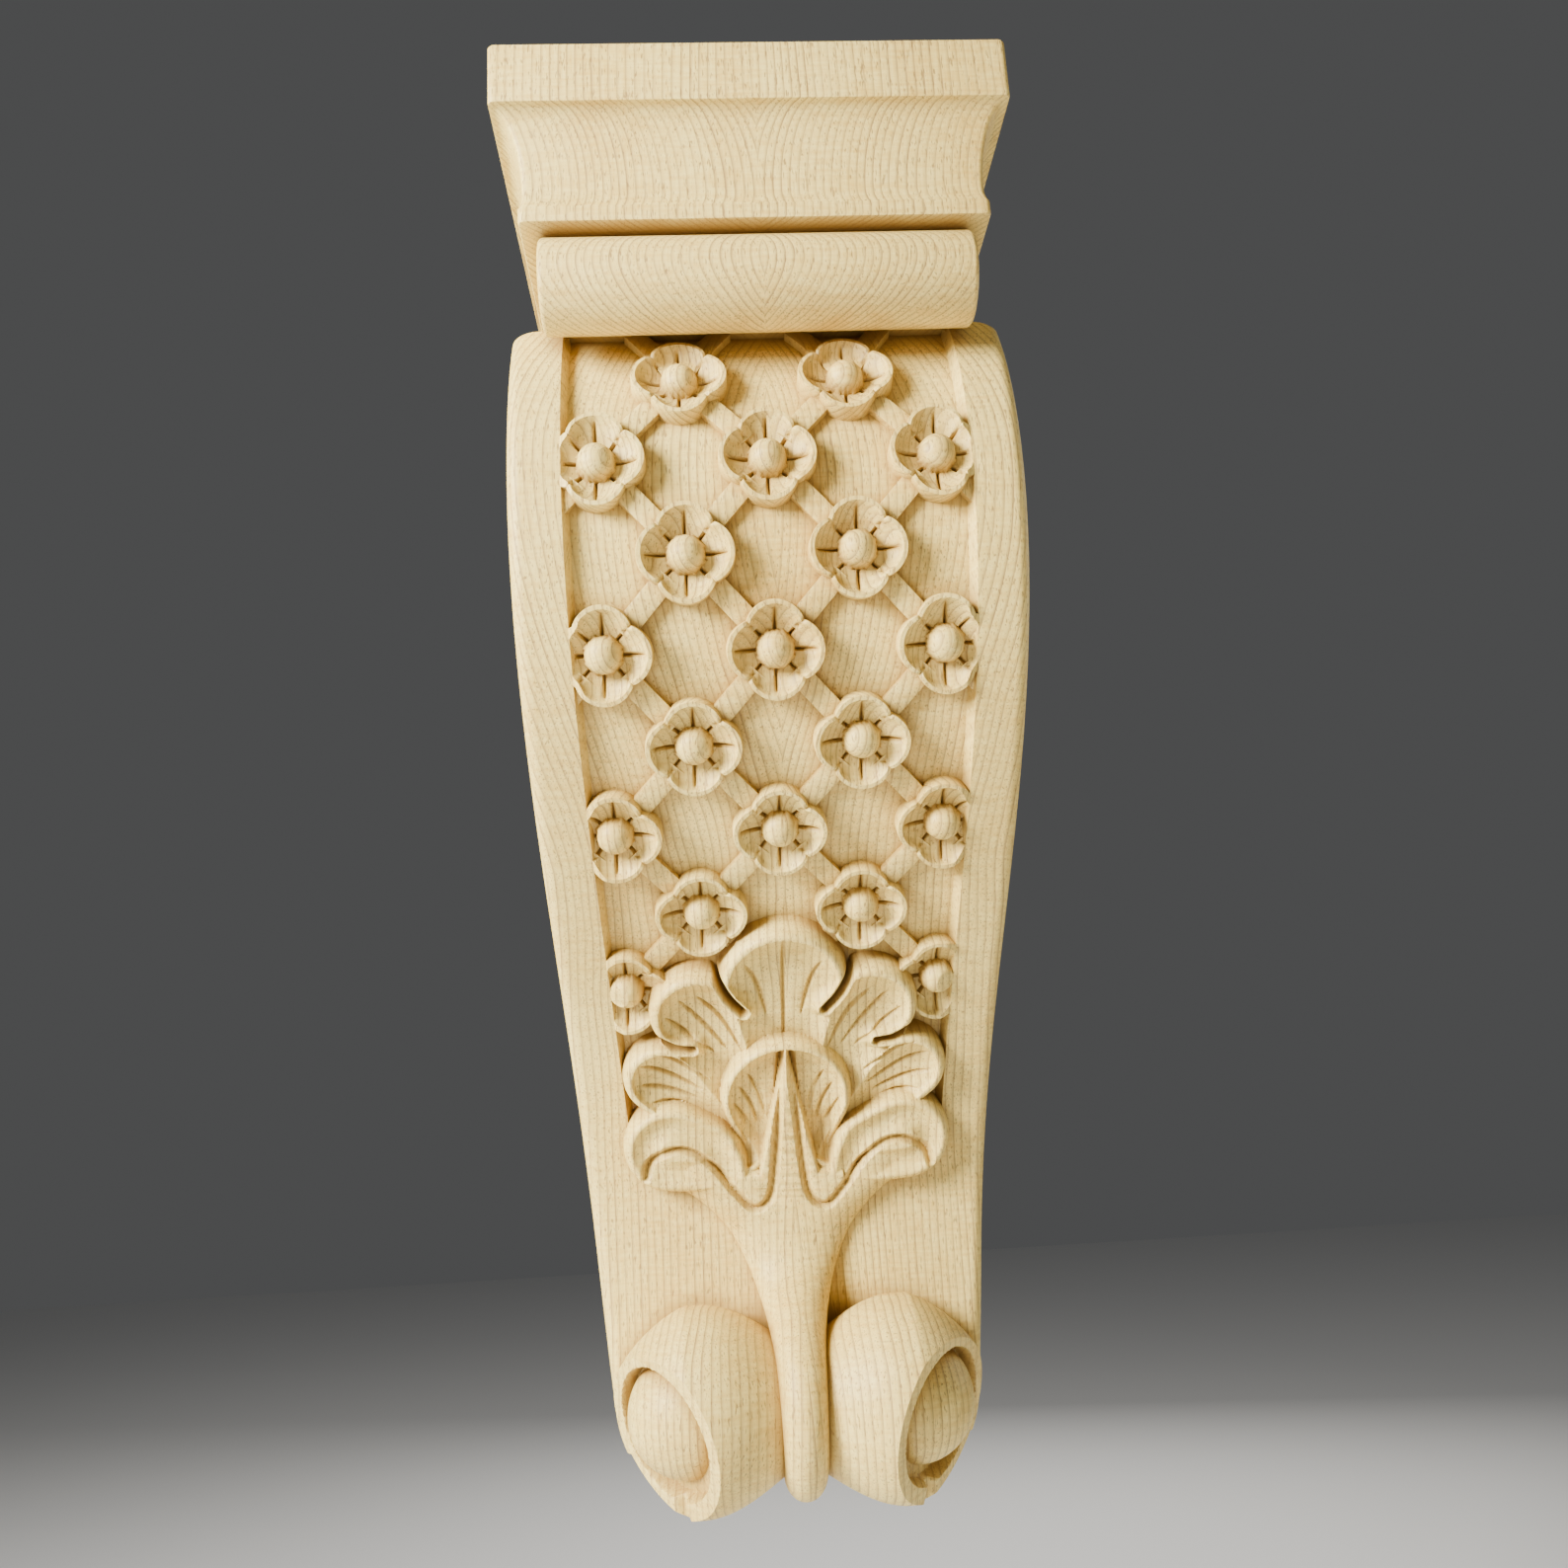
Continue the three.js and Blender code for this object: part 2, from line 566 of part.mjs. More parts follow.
// One volute: a swelling drum cut by the slanting end face, with a groove round a domed eye
function volute(side) {
  const points = [new THREE.Vector2(0, -SINK), new THREE.Vector2(DRUM_NECK_RADIUS, -SINK)];
  for (let step = 0; step < DRUM_STEPS; step += 1) {
    const across = THREE.MathUtils.lerp(DRUM_SWELL_FROM, DRUM_ROUND_FROM, step / DRUM_STEPS);
    points.push(new THREE.Vector2(drumRadius(across), across));
  }
  for (let step = 0; step <= DRUM_STEPS; step += 1) {
    const share = Math.sin(step / DRUM_STEPS * Math.PI / 2);
    const across = THREE.MathUtils.lerp(DRUM_ROUND_FROM, DRUM_END, share);
    points.push(new THREE.Vector2(step < DRUM_STEPS ? drumRadius(across) : 0, across));
  }
  const drum = new THREE.LatheGeometry(points, DRUM_SIDES);
  drum.rotateZ(-side * Math.PI / 2);
  drum.translate(0, -DRUM_OUT, DRUM_CENTRE.y);
  const faceOut = new THREE.Vector3(side, 0, 0)
    .applyAxisAngle(new THREE.Vector3(0, 0, 1), -side * THREE.MathUtils.degToRad(END_TURN));
  faceOut.z = -Math.tan(THREE.MathUtils.degToRad(END_DROP));
  faceOut.normalize();
  const up = new THREE.Vector3(0, 0, 1).projectOnPlane(faceOut).normalize();
  const inward = new THREE.Vector3(-side, 0, 0).projectOnPlane(faceOut).projectOnPlane(up).normalize();
  const eyeCentre = new THREE.Vector3(side * END_ACROSS, -DRUM_OUT, DRUM_CENTRE.y)
    .addScaledVector(inward, EYE_INWARD).addScaledVector(up, -EYE_DROP);
  const turn = new THREE.Matrix4().makeBasis(new THREE.Vector3().crossVectors(up, faceOut), up, faceOut)
    .setPosition(eyeCentre);
  const waste = new THREE.BoxGeometry(CUTTER, CUTTER, CUTTER).translate(0, 0, CUTTER / 2);
  const groove = new THREE.CylinderGeometry(1, 1, 2 * END_HOLLOW, 18).rotateX(Math.PI / 2)
    .scale(EYE_WIDE + END_GROOVE, EYE_LONG + END_GROOVE, 1);
  const eye = new THREE.SphereGeometry(1, 14, 6).rotateX(Math.PI / 2).scale(EYE_WIDE, EYE_LONG, EYE_RISE);
  return solid(drum).subtract(solid(waste.applyMatrix4(turn))).subtract(solid(groove.applyMatrix4(turn)))
    .add(solid(eye.applyMatrix4(turn)));
}

// Everything carved from the one block
function corbel() {
  const body = blank().subtract(panelSpace(0, 0)).add(trellis());
  const lower = wasm.Manifold.union([body, volute(-1), volute(1)]).intersect(footOutline());
  return wasm.Manifold.union([lower, cap(), torus(), palmette(), arch(), spike(), stem()]);
}

function meshOf(manifold, name, material) {
  const { vertProperties, triVerts } = manifold.getMesh();
  const geometry = new THREE.BufferGeometry();
  geometry.setAttribute('position', new THREE.BufferAttribute(new Float32Array(vertProperties), 3));
  geometry.setIndex(new THREE.BufferAttribute(new Uint32Array(triVerts), 1));
  geometry.translate(0, 0, -HEIGHT / 2);
  geometry.computeVertexNormals();
  const mesh = new THREE.Mesh(geometry, material);
  mesh.name = name;
  return mesh;
}

const wood = new THREE.MeshStandardMaterial({ color: WOOD_COLOUR, roughness: 0.62, metalness: 0 });
const model = new THREE.Group();
model.add(meshOf(corbel(), 'corbel', wood));

export default model;
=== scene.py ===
"""Looks for a carved wooden wall corbel: a fine mesh of the whole carving, its wood, light and camera.

The carving is one block. Its body, mouldings, leaf, stem and volutes are closed meshes worked out from
named sizes in millimetres, the trellis is made by Geometry Nodes, and all of them are joined into one
closed piece. Places on the front are given as (across, down, rise): across the face, down it from its
crown, and up out of the wood.
"""

import logging
import math
from dataclasses import dataclass
from enum import Enum
from types import SimpleNamespace
from typing import Sequence

import bmesh
import bpy
import numpy as np
from mathutils import Matrix, Vector

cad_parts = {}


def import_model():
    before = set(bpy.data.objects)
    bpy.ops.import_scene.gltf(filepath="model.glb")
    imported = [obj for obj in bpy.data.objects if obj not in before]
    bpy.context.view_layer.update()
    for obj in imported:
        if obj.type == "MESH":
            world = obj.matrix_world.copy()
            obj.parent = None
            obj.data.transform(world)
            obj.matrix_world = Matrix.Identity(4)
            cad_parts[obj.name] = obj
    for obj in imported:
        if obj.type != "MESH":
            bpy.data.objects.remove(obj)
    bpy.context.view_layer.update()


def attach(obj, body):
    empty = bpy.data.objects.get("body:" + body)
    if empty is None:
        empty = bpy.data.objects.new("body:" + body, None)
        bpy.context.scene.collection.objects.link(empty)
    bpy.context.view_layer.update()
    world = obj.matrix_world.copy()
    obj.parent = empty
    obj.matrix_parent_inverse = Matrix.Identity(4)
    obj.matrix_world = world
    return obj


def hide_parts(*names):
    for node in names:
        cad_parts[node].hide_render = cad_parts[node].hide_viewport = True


LOG = logging.getLogger("corbel")

# One millimetre in metres, and the photograph's side in pixels
MM = 0.001
PHOTO_SIDE = 1588
NODE = "corbel"
BODY = "root"


class Layer(Enum):
    """The parts of the trellis that are made one by one, because their own pieces never touch."""

    FLOWERS = "flowers"
    STRAPS_RIGHT = "straps_right"
    STRAPS_LEFT = "straps_left"


class Join(Enum):
    """How one closed mesh meets another."""

    UNION = "UNION"
    DIFFERENCE = "DIFFERENCE"
    INTERSECT = "INTERSECT"


def smoothstep(low: float, high: float, value: np.ndarray) -> np.ndarray:
    """Eases from 0 at low to 1 at high.

    Args:
        low: Where the step starts.
        high: Where the step ends.
        value: The values to ease.

    Returns:
        The eased shares.
    """
    share = np.clip((value - low) / (high - low), 0.0, 1.0)
    return share * share * (3.0 - 2.0 * share)


def segment_distance(x: np.ndarray, s: np.ndarray, start: Sequence[float],
                     end: Sequence[float]) -> tuple[np.ndarray, np.ndarray]:
    """Measures how far places lie from a straight line between two points.

    Args:
        x: Places across.
        s: Places down.
        start: The line's first point.
        end: The line's last point.

    Returns:
        The distances, and the share of the way along the line.
    """
    run = np.subtract(end, start)
    share = ((x - start[0]) * run[0] + (s - start[1]) * run[1]) / max(float(run @ run), 1e-9)
    share = np.clip(share, 0.0, 1.0)
    return np.hypot(x - start[0] - share * run[0], s - start[1] - share * run[1]), share


def path_distance(x: np.ndarray, s: np.ndarray, points: Sequence[Sequence[float]]) -> np.ndarray:
    """Measures how far places, across and down, lie from a path of straight runs."""
    runs = [segment_distance(x, s, a, b)[0] for a, b in zip(points, points[1:])]
    return np.minimum.reduce(runs)


def rounded_path(points: Sequence[Sequence[float]], steps: int = 6) -> list[tuple[float, float]]:
    """Runs a smooth curve through a few points.

    Args:
        points: The points it passes through.
        steps: Runs between two of them.

    Returns:
        The curve's points.
    """
    known = np.asarray([points[0], *points, points[-1]], dtype=float)
    curve = []
    for index in range(1, len(known) - 2):
        before, here, after, beyond = known[index - 1:index + 3]
        for t in np.linspace(0.0, 1.0, steps, endpoint=False):
            place = 0.5 * (2 * here + (after - before) * t
                           + (2 * before - 5 * here + 4 * after - beyond) * t ** 2
                           + (3 * here - before - 3 * after + beyond) * t ** 3)
            curve.append(tuple(place))
    curve.append(tuple(known[-2]))
    return curve


def bezier(knots: Sequence[np.ndarray], t: np.ndarray) -> np.ndarray:
    """Follows a cubic curve between the outer two of four knots, with the inner two as its handles."""
    shares = ((1 - t) ** 3, 3 * (1 - t) ** 2 * t, 3 * (1 - t) * t ** 2, t ** 3)
    return sum(share * knot for share, knot in zip(shares, knots))


@dataclass(frozen=True)
class Sizes:
    """The driving sizes of the carving, in millimetres, as in the solid."""

    height: float = 351.0
    cap_half_width: float = 63.2
    cap_projection: float = 136.0
    band_height: float = 16.5
    cove_height: float = 24.5
    cove_depth: float = 7.0
    lip_height: float = 4.0
    lip_flare: float = 0.9
    torus_radius: float = 11.4
    torus_half_width: float = 52.6
    torus_set_back: float = 16.0
    rail_drop: float = 58.0
    crown_drop: float = 103.5
    crown_out: float = 115.5
    brow_radius: float = 75.0
    waist_drop: float = 292.5
    waist_out: float = 22.5
    sweep_handle: float = 77.0
    body_half_width: float = 62.0
    foot_half_width: float = 48.6
    taper_power: float = 1.8
    edge_round: float = 3.5
    back_foot_rise: float = 14.0
    foot_flat: float = 25.0
    foot_round: float = 27.0
    rail_width: float = 13.0
    rail_rise: float = 3.2
    panel_length: float = 176.0
    drum_radius: float = 25.2
    drum_out: float = 34.0
    drum_neck: float = 16.5
    drum_swell_from: float = 5.0
    drum_swell_to: float = 26.0
    drum_round_from: float = 29.0
    drum_round_power: float = 1.23
    drum_end: float = 49.8

    @property
    def rail_top(self) -> float:
        """Height of the rails' top above the foot."""
        return self.height - self.rail_drop

    @property
    def soffit(self) -> float:
        """Height of the cap's underside above the foot."""
        return self.height - self.band_height - self.cove_height - self.lip_height

    @property
    def drum_centre(self) -> tuple[float, float]:
        """The drums' axis, as (out from the wall, above the foot)."""
        return self.drum_out, self.drum_radius


SIZES = Sizes()
# How deep each part is let into the wood behind it, in millimetres
SINK = 2.0


class Front:
    """The carving's sunk field as one curve from the torus down to the volutes."""

    brow_steps: int = 120
    sweep_steps: int = 1500
    plain_steps: int = 60

    def __init__(self, sizes: Sizes) -> None:
        """Works the curve out.

        Args:
            sizes: The carving's sizes.
        """
        self.sizes = sizes
        crown = np.array([sizes.crown_out, sizes.height - sizes.crown_drop])
        waist = np.array([sizes.waist_out, sizes.height - sizes.waist_drop])
        angle = math.asin((sizes.rail_top - crown[1]) / sizes.brow_radius)
        turns = np.linspace(angle, 0.0, self.brow_steps)
        brow = np.c_[crown[0] + sizes.brow_radius * (np.cos(turns) - 1.0),
                     crown[1] + sizes.brow_radius * np.sin(turns)]
        handle = np.array([0.0, sizes.sweep_handle])
        sweep = bezier((crown, crown - handle, waist + handle, waist),
                       np.linspace(0.0, 1.0, self.sweep_steps)[:, None])
        plain = np.c_[np.full(self.plain_steps, waist[0]),
                      np.linspace(waist[1], sizes.drum_radius, self.plain_steps)]
        places = np.vstack([brow, sweep[1:], plain[1:]])
        runs = np.hypot(*np.diff(places, axis=0).T)
        self.brow_length = sizes.brow_radius * angle
        self.down = np.r_[0.0, np.cumsum(runs)] - self.brow_length
        along = np.gradient(places, self.down, axis=0)
        along /= np.linalg.norm(along, axis=1)[:, None]
        self.places = places
        self.normals = np.c_[-along[:, 1], along[:, 0]]
        self.waist_down = float(self.down[len(brow) + len(sweep) - 2])

    def place(self, across: np.ndarray, down: np.ndarray, rise: np.ndarray) -> np.ndarray:
        """Turns places on the front into places in space.

        Args:
            across: Places across the face.
            down: Places down the face from its crown.
            rise: Heights above the sunk field.

        Returns:
            An array of (x, y, z) in millimetres above the foot.
        """
        across, down, rise = np.broadcast_arrays(across, down, rise)
        out = np.interp(down, self.down, self.places[:, 0])
        up = np.interp(down, self.down, self.places[:, 1])
        tilt_out = np.interp(down, self.down, self.normals[:, 0])
        tilt_up = np.interp(down, self.down, self.normals[:, 1])
        return np.stack([across, -(out + rise * tilt_out), up + rise * tilt_up], axis=-1)

    def half_width(self, z: np.ndarray) -> np.ndarray:
        """Gives the body's half width.

        Args:
            z: Heights above the foot.

        Returns:
            The half widths at those heights.
        """
        sizes = self.sizes
        crown = sizes.height - sizes.crown_drop
        share = np.clip((crown - z) / (crown - sizes.drum_radius), 0.0, 1.0)
        narrowing = (sizes.body_half_width - sizes.foot_half_width) * share ** sizes.taper_power
        plain = sizes.body_half_width - narrowing
        low = np.clip(1.0 - z / sizes.foot_round, 0.0, 1.0)
        rounded = sizes.foot_flat + (sizes.foot_half_width - sizes.foot_flat) * np.sqrt(1.0 - low ** 2)
        return np.where(z < sizes.foot_round, np.minimum(plain, rounded), plain)


FRONT = Front(SIZES)


class MeshKit:
    """Makes, joins and clears meshes."""

    @staticmethod
    def add(name: str, data: bpy.types.ID) -> bpy.types.Object:
        """Makes an object of some data and links it to the scene."""
        made = bpy.data.objects.new(name, data)
        bpy.context.scene.collection.objects.link(made)
        return made

    @staticmethod
    def to_object(name: str, places: np.ndarray, faces: list[tuple[int, ...]]) -> bpy.types.Object:
        """Makes a closed mesh object, faces outward, from places in millimetres above the foot.

        Args:
            name: The object's name.
            places: An array of (x, y, z).
            faces: The faces, as indices into the places.

        Returns:
            The new object.
        """
        moved = (np.asarray(places, dtype=float) - [0.0, 0.0, SIZES.height / 2]) * MM
        mesh = bpy.data.meshes.new(name)
        mesh.from_pydata(moved.tolist(), [], faces)
        mesh.update()
        piece = MeshKit.add(name, mesh)
        MeshKit.turn_outward(piece)
        return piece

    @staticmethod
    def tube(name: str, rings: np.ndarray) -> bpy.types.Object:
        """Makes a closed skin over rings of equal size.

        Args:
            name: The object's name.
            rings: An array of (ring, point, 3), clockwise seen along the way from ring to ring.

        Returns:
            The new object, closed by one face at each end.
        """
        count, size = rings.shape[:2]
        faces = []
        for ring in range(count - 1):
            for step in range(size):
                here = ring * size + step
                beside = ring * size + (step + 1) % size
                faces.append((here, beside, beside + size, here + size))
        last = (count - 1) * size
        faces.append(tuple(reversed(range(size))))
        faces.append(tuple(range(last, last + size)))
        return MeshKit.to_object(name, rings.reshape(-1, 3), faces)

    @staticmethod
    def slab(name: str, top: np.ndarray, bottom: np.ndarray) -> bpy.types.Object:
        """Makes a closed slab between two grids of places.

        Args:
            name: The object's name.
            top: An array of (row, column, 3), rows downwards and columns to the right.
            bottom: The same, behind it.

        Returns:
            The new object.
        """
        rows, columns = top.shape[:2]
        shift = rows * columns
        faces = []
        for row in range(rows - 1):
            for column in range(columns - 1):
                a = row * columns + column
                b, c, d = a + 1, a + columns + 1, a + columns
                faces.append((a, d, c, b))
                faces.append((a + shift, b + shift, c + shift, d + shift))
        rim = list(range(columns))
        rim += [row * columns + columns - 1 for row in range(1, rows)]
        rim += [(rows - 1) * columns + column for column in range(columns - 2, -1, -1)]
        rim += [row * columns for row in range(rows - 2, 0, -1)]
        for here, beyond in zip(rim, rim[1:] + rim[:1]):
            faces.append((here, beyond, beyond + shift, here + shift))
        places = np.vstack([top.reshape(-1, 3), bottom.reshape(-1, 3)])
        return MeshKit.to_object(name, places, faces)

    @staticmethod
    def turn_outward(piece: bpy.types.Object) -> None:
        """Makes every face look outward.

        Args:
            piece: The closed mesh object.
        """
        work = bmesh.new()
        work.from_mesh(piece.data)
        bmesh.ops.recalc_face_normals(work, faces=work.faces)
        if work.calc_volume(signed=True) < 0.0:
            bmesh.ops.reverse_faces(work, faces=work.faces)
        work.to_mesh(piece.data)
        work.free()

    @staticmethod
    def bake(piece: bpy.types.Object) -> None:
        """Applies an object's modifiers to its mesh and removes them."""
        graph = bpy.context.evaluated_depsgraph_get()
        made = bpy.data.meshes.new_from_object(piece.evaluated_get(graph))
        old = piece.data
        piece.modifiers.clear()
        piece.data = made
        if old.users == 0:
            bpy.data.meshes.remove(old)

    @staticmethod
    def drop(piece: bpy.types.Object) -> None:
        """Removes an object and its mesh."""
        mesh = piece.data
        bpy.data.objects.remove(piece)
        if mesh.users == 0:
            bpy.data.meshes.remove(mesh)

    @staticmethod
    def join(piece: bpy.types.Object, other: bpy.types.Object, how: Join, keep: bool = False) -> None:
        """Joins one closed mesh with another.

        Args:
            piece: The mesh that changes.
            other: The mesh that it meets.
            how: What the joining does.
            keep: Whether the other one stays.
        """
        modifier = piece.modifiers.new(how.value, "BOOLEAN")
        modifier.operation = how.value
        modifier.solver = "MANIFOLD"
        modifier.object = other
        MeshKit.bake(piece)
        LOG.info("%s with %s: %d faces", how.value.lower(), other.name, len(piece.data.polygons))
        if not keep:
            MeshKit.drop(other)


@dataclass
class Block:
    """The block's body: level slices with rounded edges that narrow towards the foot."""

    slices: int = 190
    corner_steps: int = 6
    panel_steps: int = 120
    room_rise: float = 25.0
    wall_lean: float = 1.5

    def build(self) -> bpy.types.Object:
        """Makes the body with its panel sunk between the rails.

        Returns:
            The body.
        """
        sizes = SIZES
        rail = FRONT.place(0.0, FRONT.down, sizes.rail_rise)
        order = np.argsort(rail[:, 2])
        turns = np.linspace(0.0, math.pi / 2, self.corner_steps + 1)
        drops = sizes.edge_round * (1.0 - np.cos(turns))
        level = np.linspace(sizes.rail_top - sizes.edge_round, sizes.back_foot_rise, self.slices)
        heights = np.r_[sizes.rail_top - drops, level[1:]]
        rings = []
        for z in heights:
            out = float(np.interp(z, rail[order, 2], -rail[order, 1]))
            short = np.clip(sizes.edge_round - (sizes.rail_top - z), 0.0, sizes.edge_round)
            inset = sizes.edge_round - math.sqrt(sizes.edge_round ** 2 - short ** 2)
            side = float(FRONT.half_width(np.array(z))) - inset
            ring = [(-side, 0.0, z), (side, 0.0, z)]
            for turn in (1.0, -1.0):
                for angle in (turns if turn > 0 else turns[::-1]):
                    ring.append((turn * (side - sizes.edge_round * (1.0 - math.cos(angle))),
                                 -(out - sizes.edge_round * (1.0 - math.sin(angle))), z))
            rings.append(ring)
        body = MeshKit.tube("body", np.array(rings))
        MeshKit.join(body, self.panel("panel"), Join.DIFFERENCE)
        return body

    def panel(self, name: str, depth: float = 0.0, seam: float = 0.0, slope: float = 0.0) -> bpy.types.Object:
        """Makes the room between the rails.

        Args:
            name: The object's name.
            depth: How far it reaches below the sunk field.
            seam: How far it reaches into the rails.
            slope: How far its upper corners lean in from the rails' tops.

        Returns:
            The closed solid of that room.
        """
        down = np.linspace(-FRONT.brow_length, SIZES.panel_length, self.panel_steps)
        side = FRONT.half_width(FRONT.place(0.0, down, 0.0)[:, 2]) - SIZES.rail_width + seam
        rise = self.room_rise
        edge = SIZES.rail_rise + seam
        foot = side - self.wall_lean
        outline = ((-foot, -depth), (foot, -depth), (side, edge), (side - slope, rise),
                   (slope - side, rise), (-side, edge))
        rings = np.stack([FRONT.place(across, down, lift) for across, lift in outline], axis=1)
        rings[0, :, 2] += SINK
        return MeshKit.tube(name, rings)


@dataclass
class Mouldings:
    """The cap's mitred band, cove and lip, and the torus and neck below it."""

    cove_steps: int = 24
    torus_steps: int = 56
    arris: float = 0.7
    arris_middle: float = 0.3
    foot_middle: float = 0.2
    lip_shares: tuple = (0.4, 0.8, 1.0)
    corner: float = 1.5
    corner_steps: int = 4
    end_round: float = 1.2
    end_shares: tuple = (0.0, 0.3, 0.65, 1.0)

    def cap_profile(self) -> list[tuple[float, float]]:
        """Follows the cap from top to soffit.

        Returns:
            Pairs of height and how far the profile stands back from the band.
        """
        sizes = SIZES
        band_foot = sizes.height - sizes.band_height
        soft = self.arris
        middle = self.arris_middle * soft
        profile = [(sizes.height, soft), (sizes.height - middle, middle), (sizes.height - soft, 0.0),
                   (band_foot + soft, 0.0), (band_foot + middle, self.foot_middle * soft), (band_foot, soft)]
        fall = sizes.cove_height - sizes.lip_height
        for step in range(1, self.cove_steps + 1):
            angle = step / self.cove_steps * math.pi / 2
            profile.append((band_foot - fall * (1.0 - math.cos(angle)),
                            soft + (sizes.cove_depth - soft) * math.sin(angle)))
        lip_top = band_foot - sizes.cove_height
        lip = sizes.cove_depth - sizes.lip_flare
        for share in self.lip_shares:
            profile.append((lip_top + (1.0 - share) * sizes.lip_height,
                            sizes.cove_depth - sizes.lip_flare * share ** 2))
        soffit = lip_top - sizes.lip_height
        profile += [(soffit + soft, lip), (soffit + middle, lip + middle), (soffit, lip + soft)]
        return profile

    def build(self) -> list[bpy.types.Object]:
        """Makes the cap and the torus.

        Returns:
            Both, as closed meshes.
        """
        sizes = SIZES
        turns = np.linspace(0.0, math.pi / 2, self.corner_steps + 1)
        rings = []
        for z, inset in self.cap_profile():
            side = sizes.cap_half_width - inset
            out = sizes.cap_projection - inset
            round_off = [(side - self.corner * (1.0 - math.cos(t)),
                          -(out - self.corner * (1.0 - math.sin(t))), z) for t in turns]
            rings.append([(-side, 0.0, z), (side, 0.0, z), *round_off,
                          *[(-x, y, level) for x, y, level in reversed(round_off)]])
        return [MeshKit.tube("cap", np.array(rings)), self.torus()]

    def torus(self) -> bpy.types.Object:
        """Makes the roll below the cap, undercut at the body, with ends whose edges are eased.

        Returns:
            The torus and the neck of wood behind it.
        """
        sizes = SIZES
        radius = sizes.torus_radius
        centre = (sizes.cap_projection - sizes.torus_set_back, sizes.soffit - radius)
        underside = sizes.rail_top - SINK
        last = math.asin((centre[1] - underside) / radius) - math.pi
        turns = np.linspace(math.pi / 2, last, self.torus_steps)
        rings = []
        for share in self.end_shares:
            ease = self.end_round * (1.0 - math.sin(share * math.pi / 2))
            across = sizes.torus_half_width - self.end_round * (1.0 - math.cos(share * math.pi / 2))
            roll = [(centre[0] + (radius - ease) * math.cos(t), centre[1] + (radius - ease) * math.sin(t))
                    for t in turns]
            top = sizes.soffit + SINK
            outline = [(0.0, underside), (0.0, top), (centre[0], top), *roll]
            rings.append([(across, -out, z) for out, z in outline])
        rings += [[(-x, y, z) for x, y, z in ring] for ring in reversed(rings)]
        return MeshKit.tube("torus", np.array(rings))


@dataclass(frozen=True)
class Lobe:
    """A round head that narrows to a root, seen flat on the face."""

    head: tuple[float, float]
    head_radius: float
    root: tuple[float, float]
    root_radius: float

    def inside(self, x: np.ndarray, s: np.ndarray) -> np.ndarray:
        """Measures how far places lie inside the outline.

        Args:
            x: Places across.
            s: Places down.

        Returns:
            Distances to the outline, positive inside.
        """
        root = np.array(self.root)
        run = np.array(self.head) - root
        length = float(np.hypot(*run))
        run = run / length
        along = (x - root[0]) * run[0] + (s - root[1]) * run[1]
        aside = np.abs((x - root[0]) * -run[1] + (s - root[1]) * run[0])
        lean = (self.root_radius - self.head_radius) / length
        level = math.sqrt(1.0 - lean ** 2)
        reach = -lean * aside + level * along
        flank = aside * level + along * lean - self.root_radius
        near = np.hypot(aside, along) - self.root_radius
        far = np.hypot(aside, along - length) - self.head_radius
        return -np.where(reach < 0.0, near, np.where(reach > level * length, far, flank))


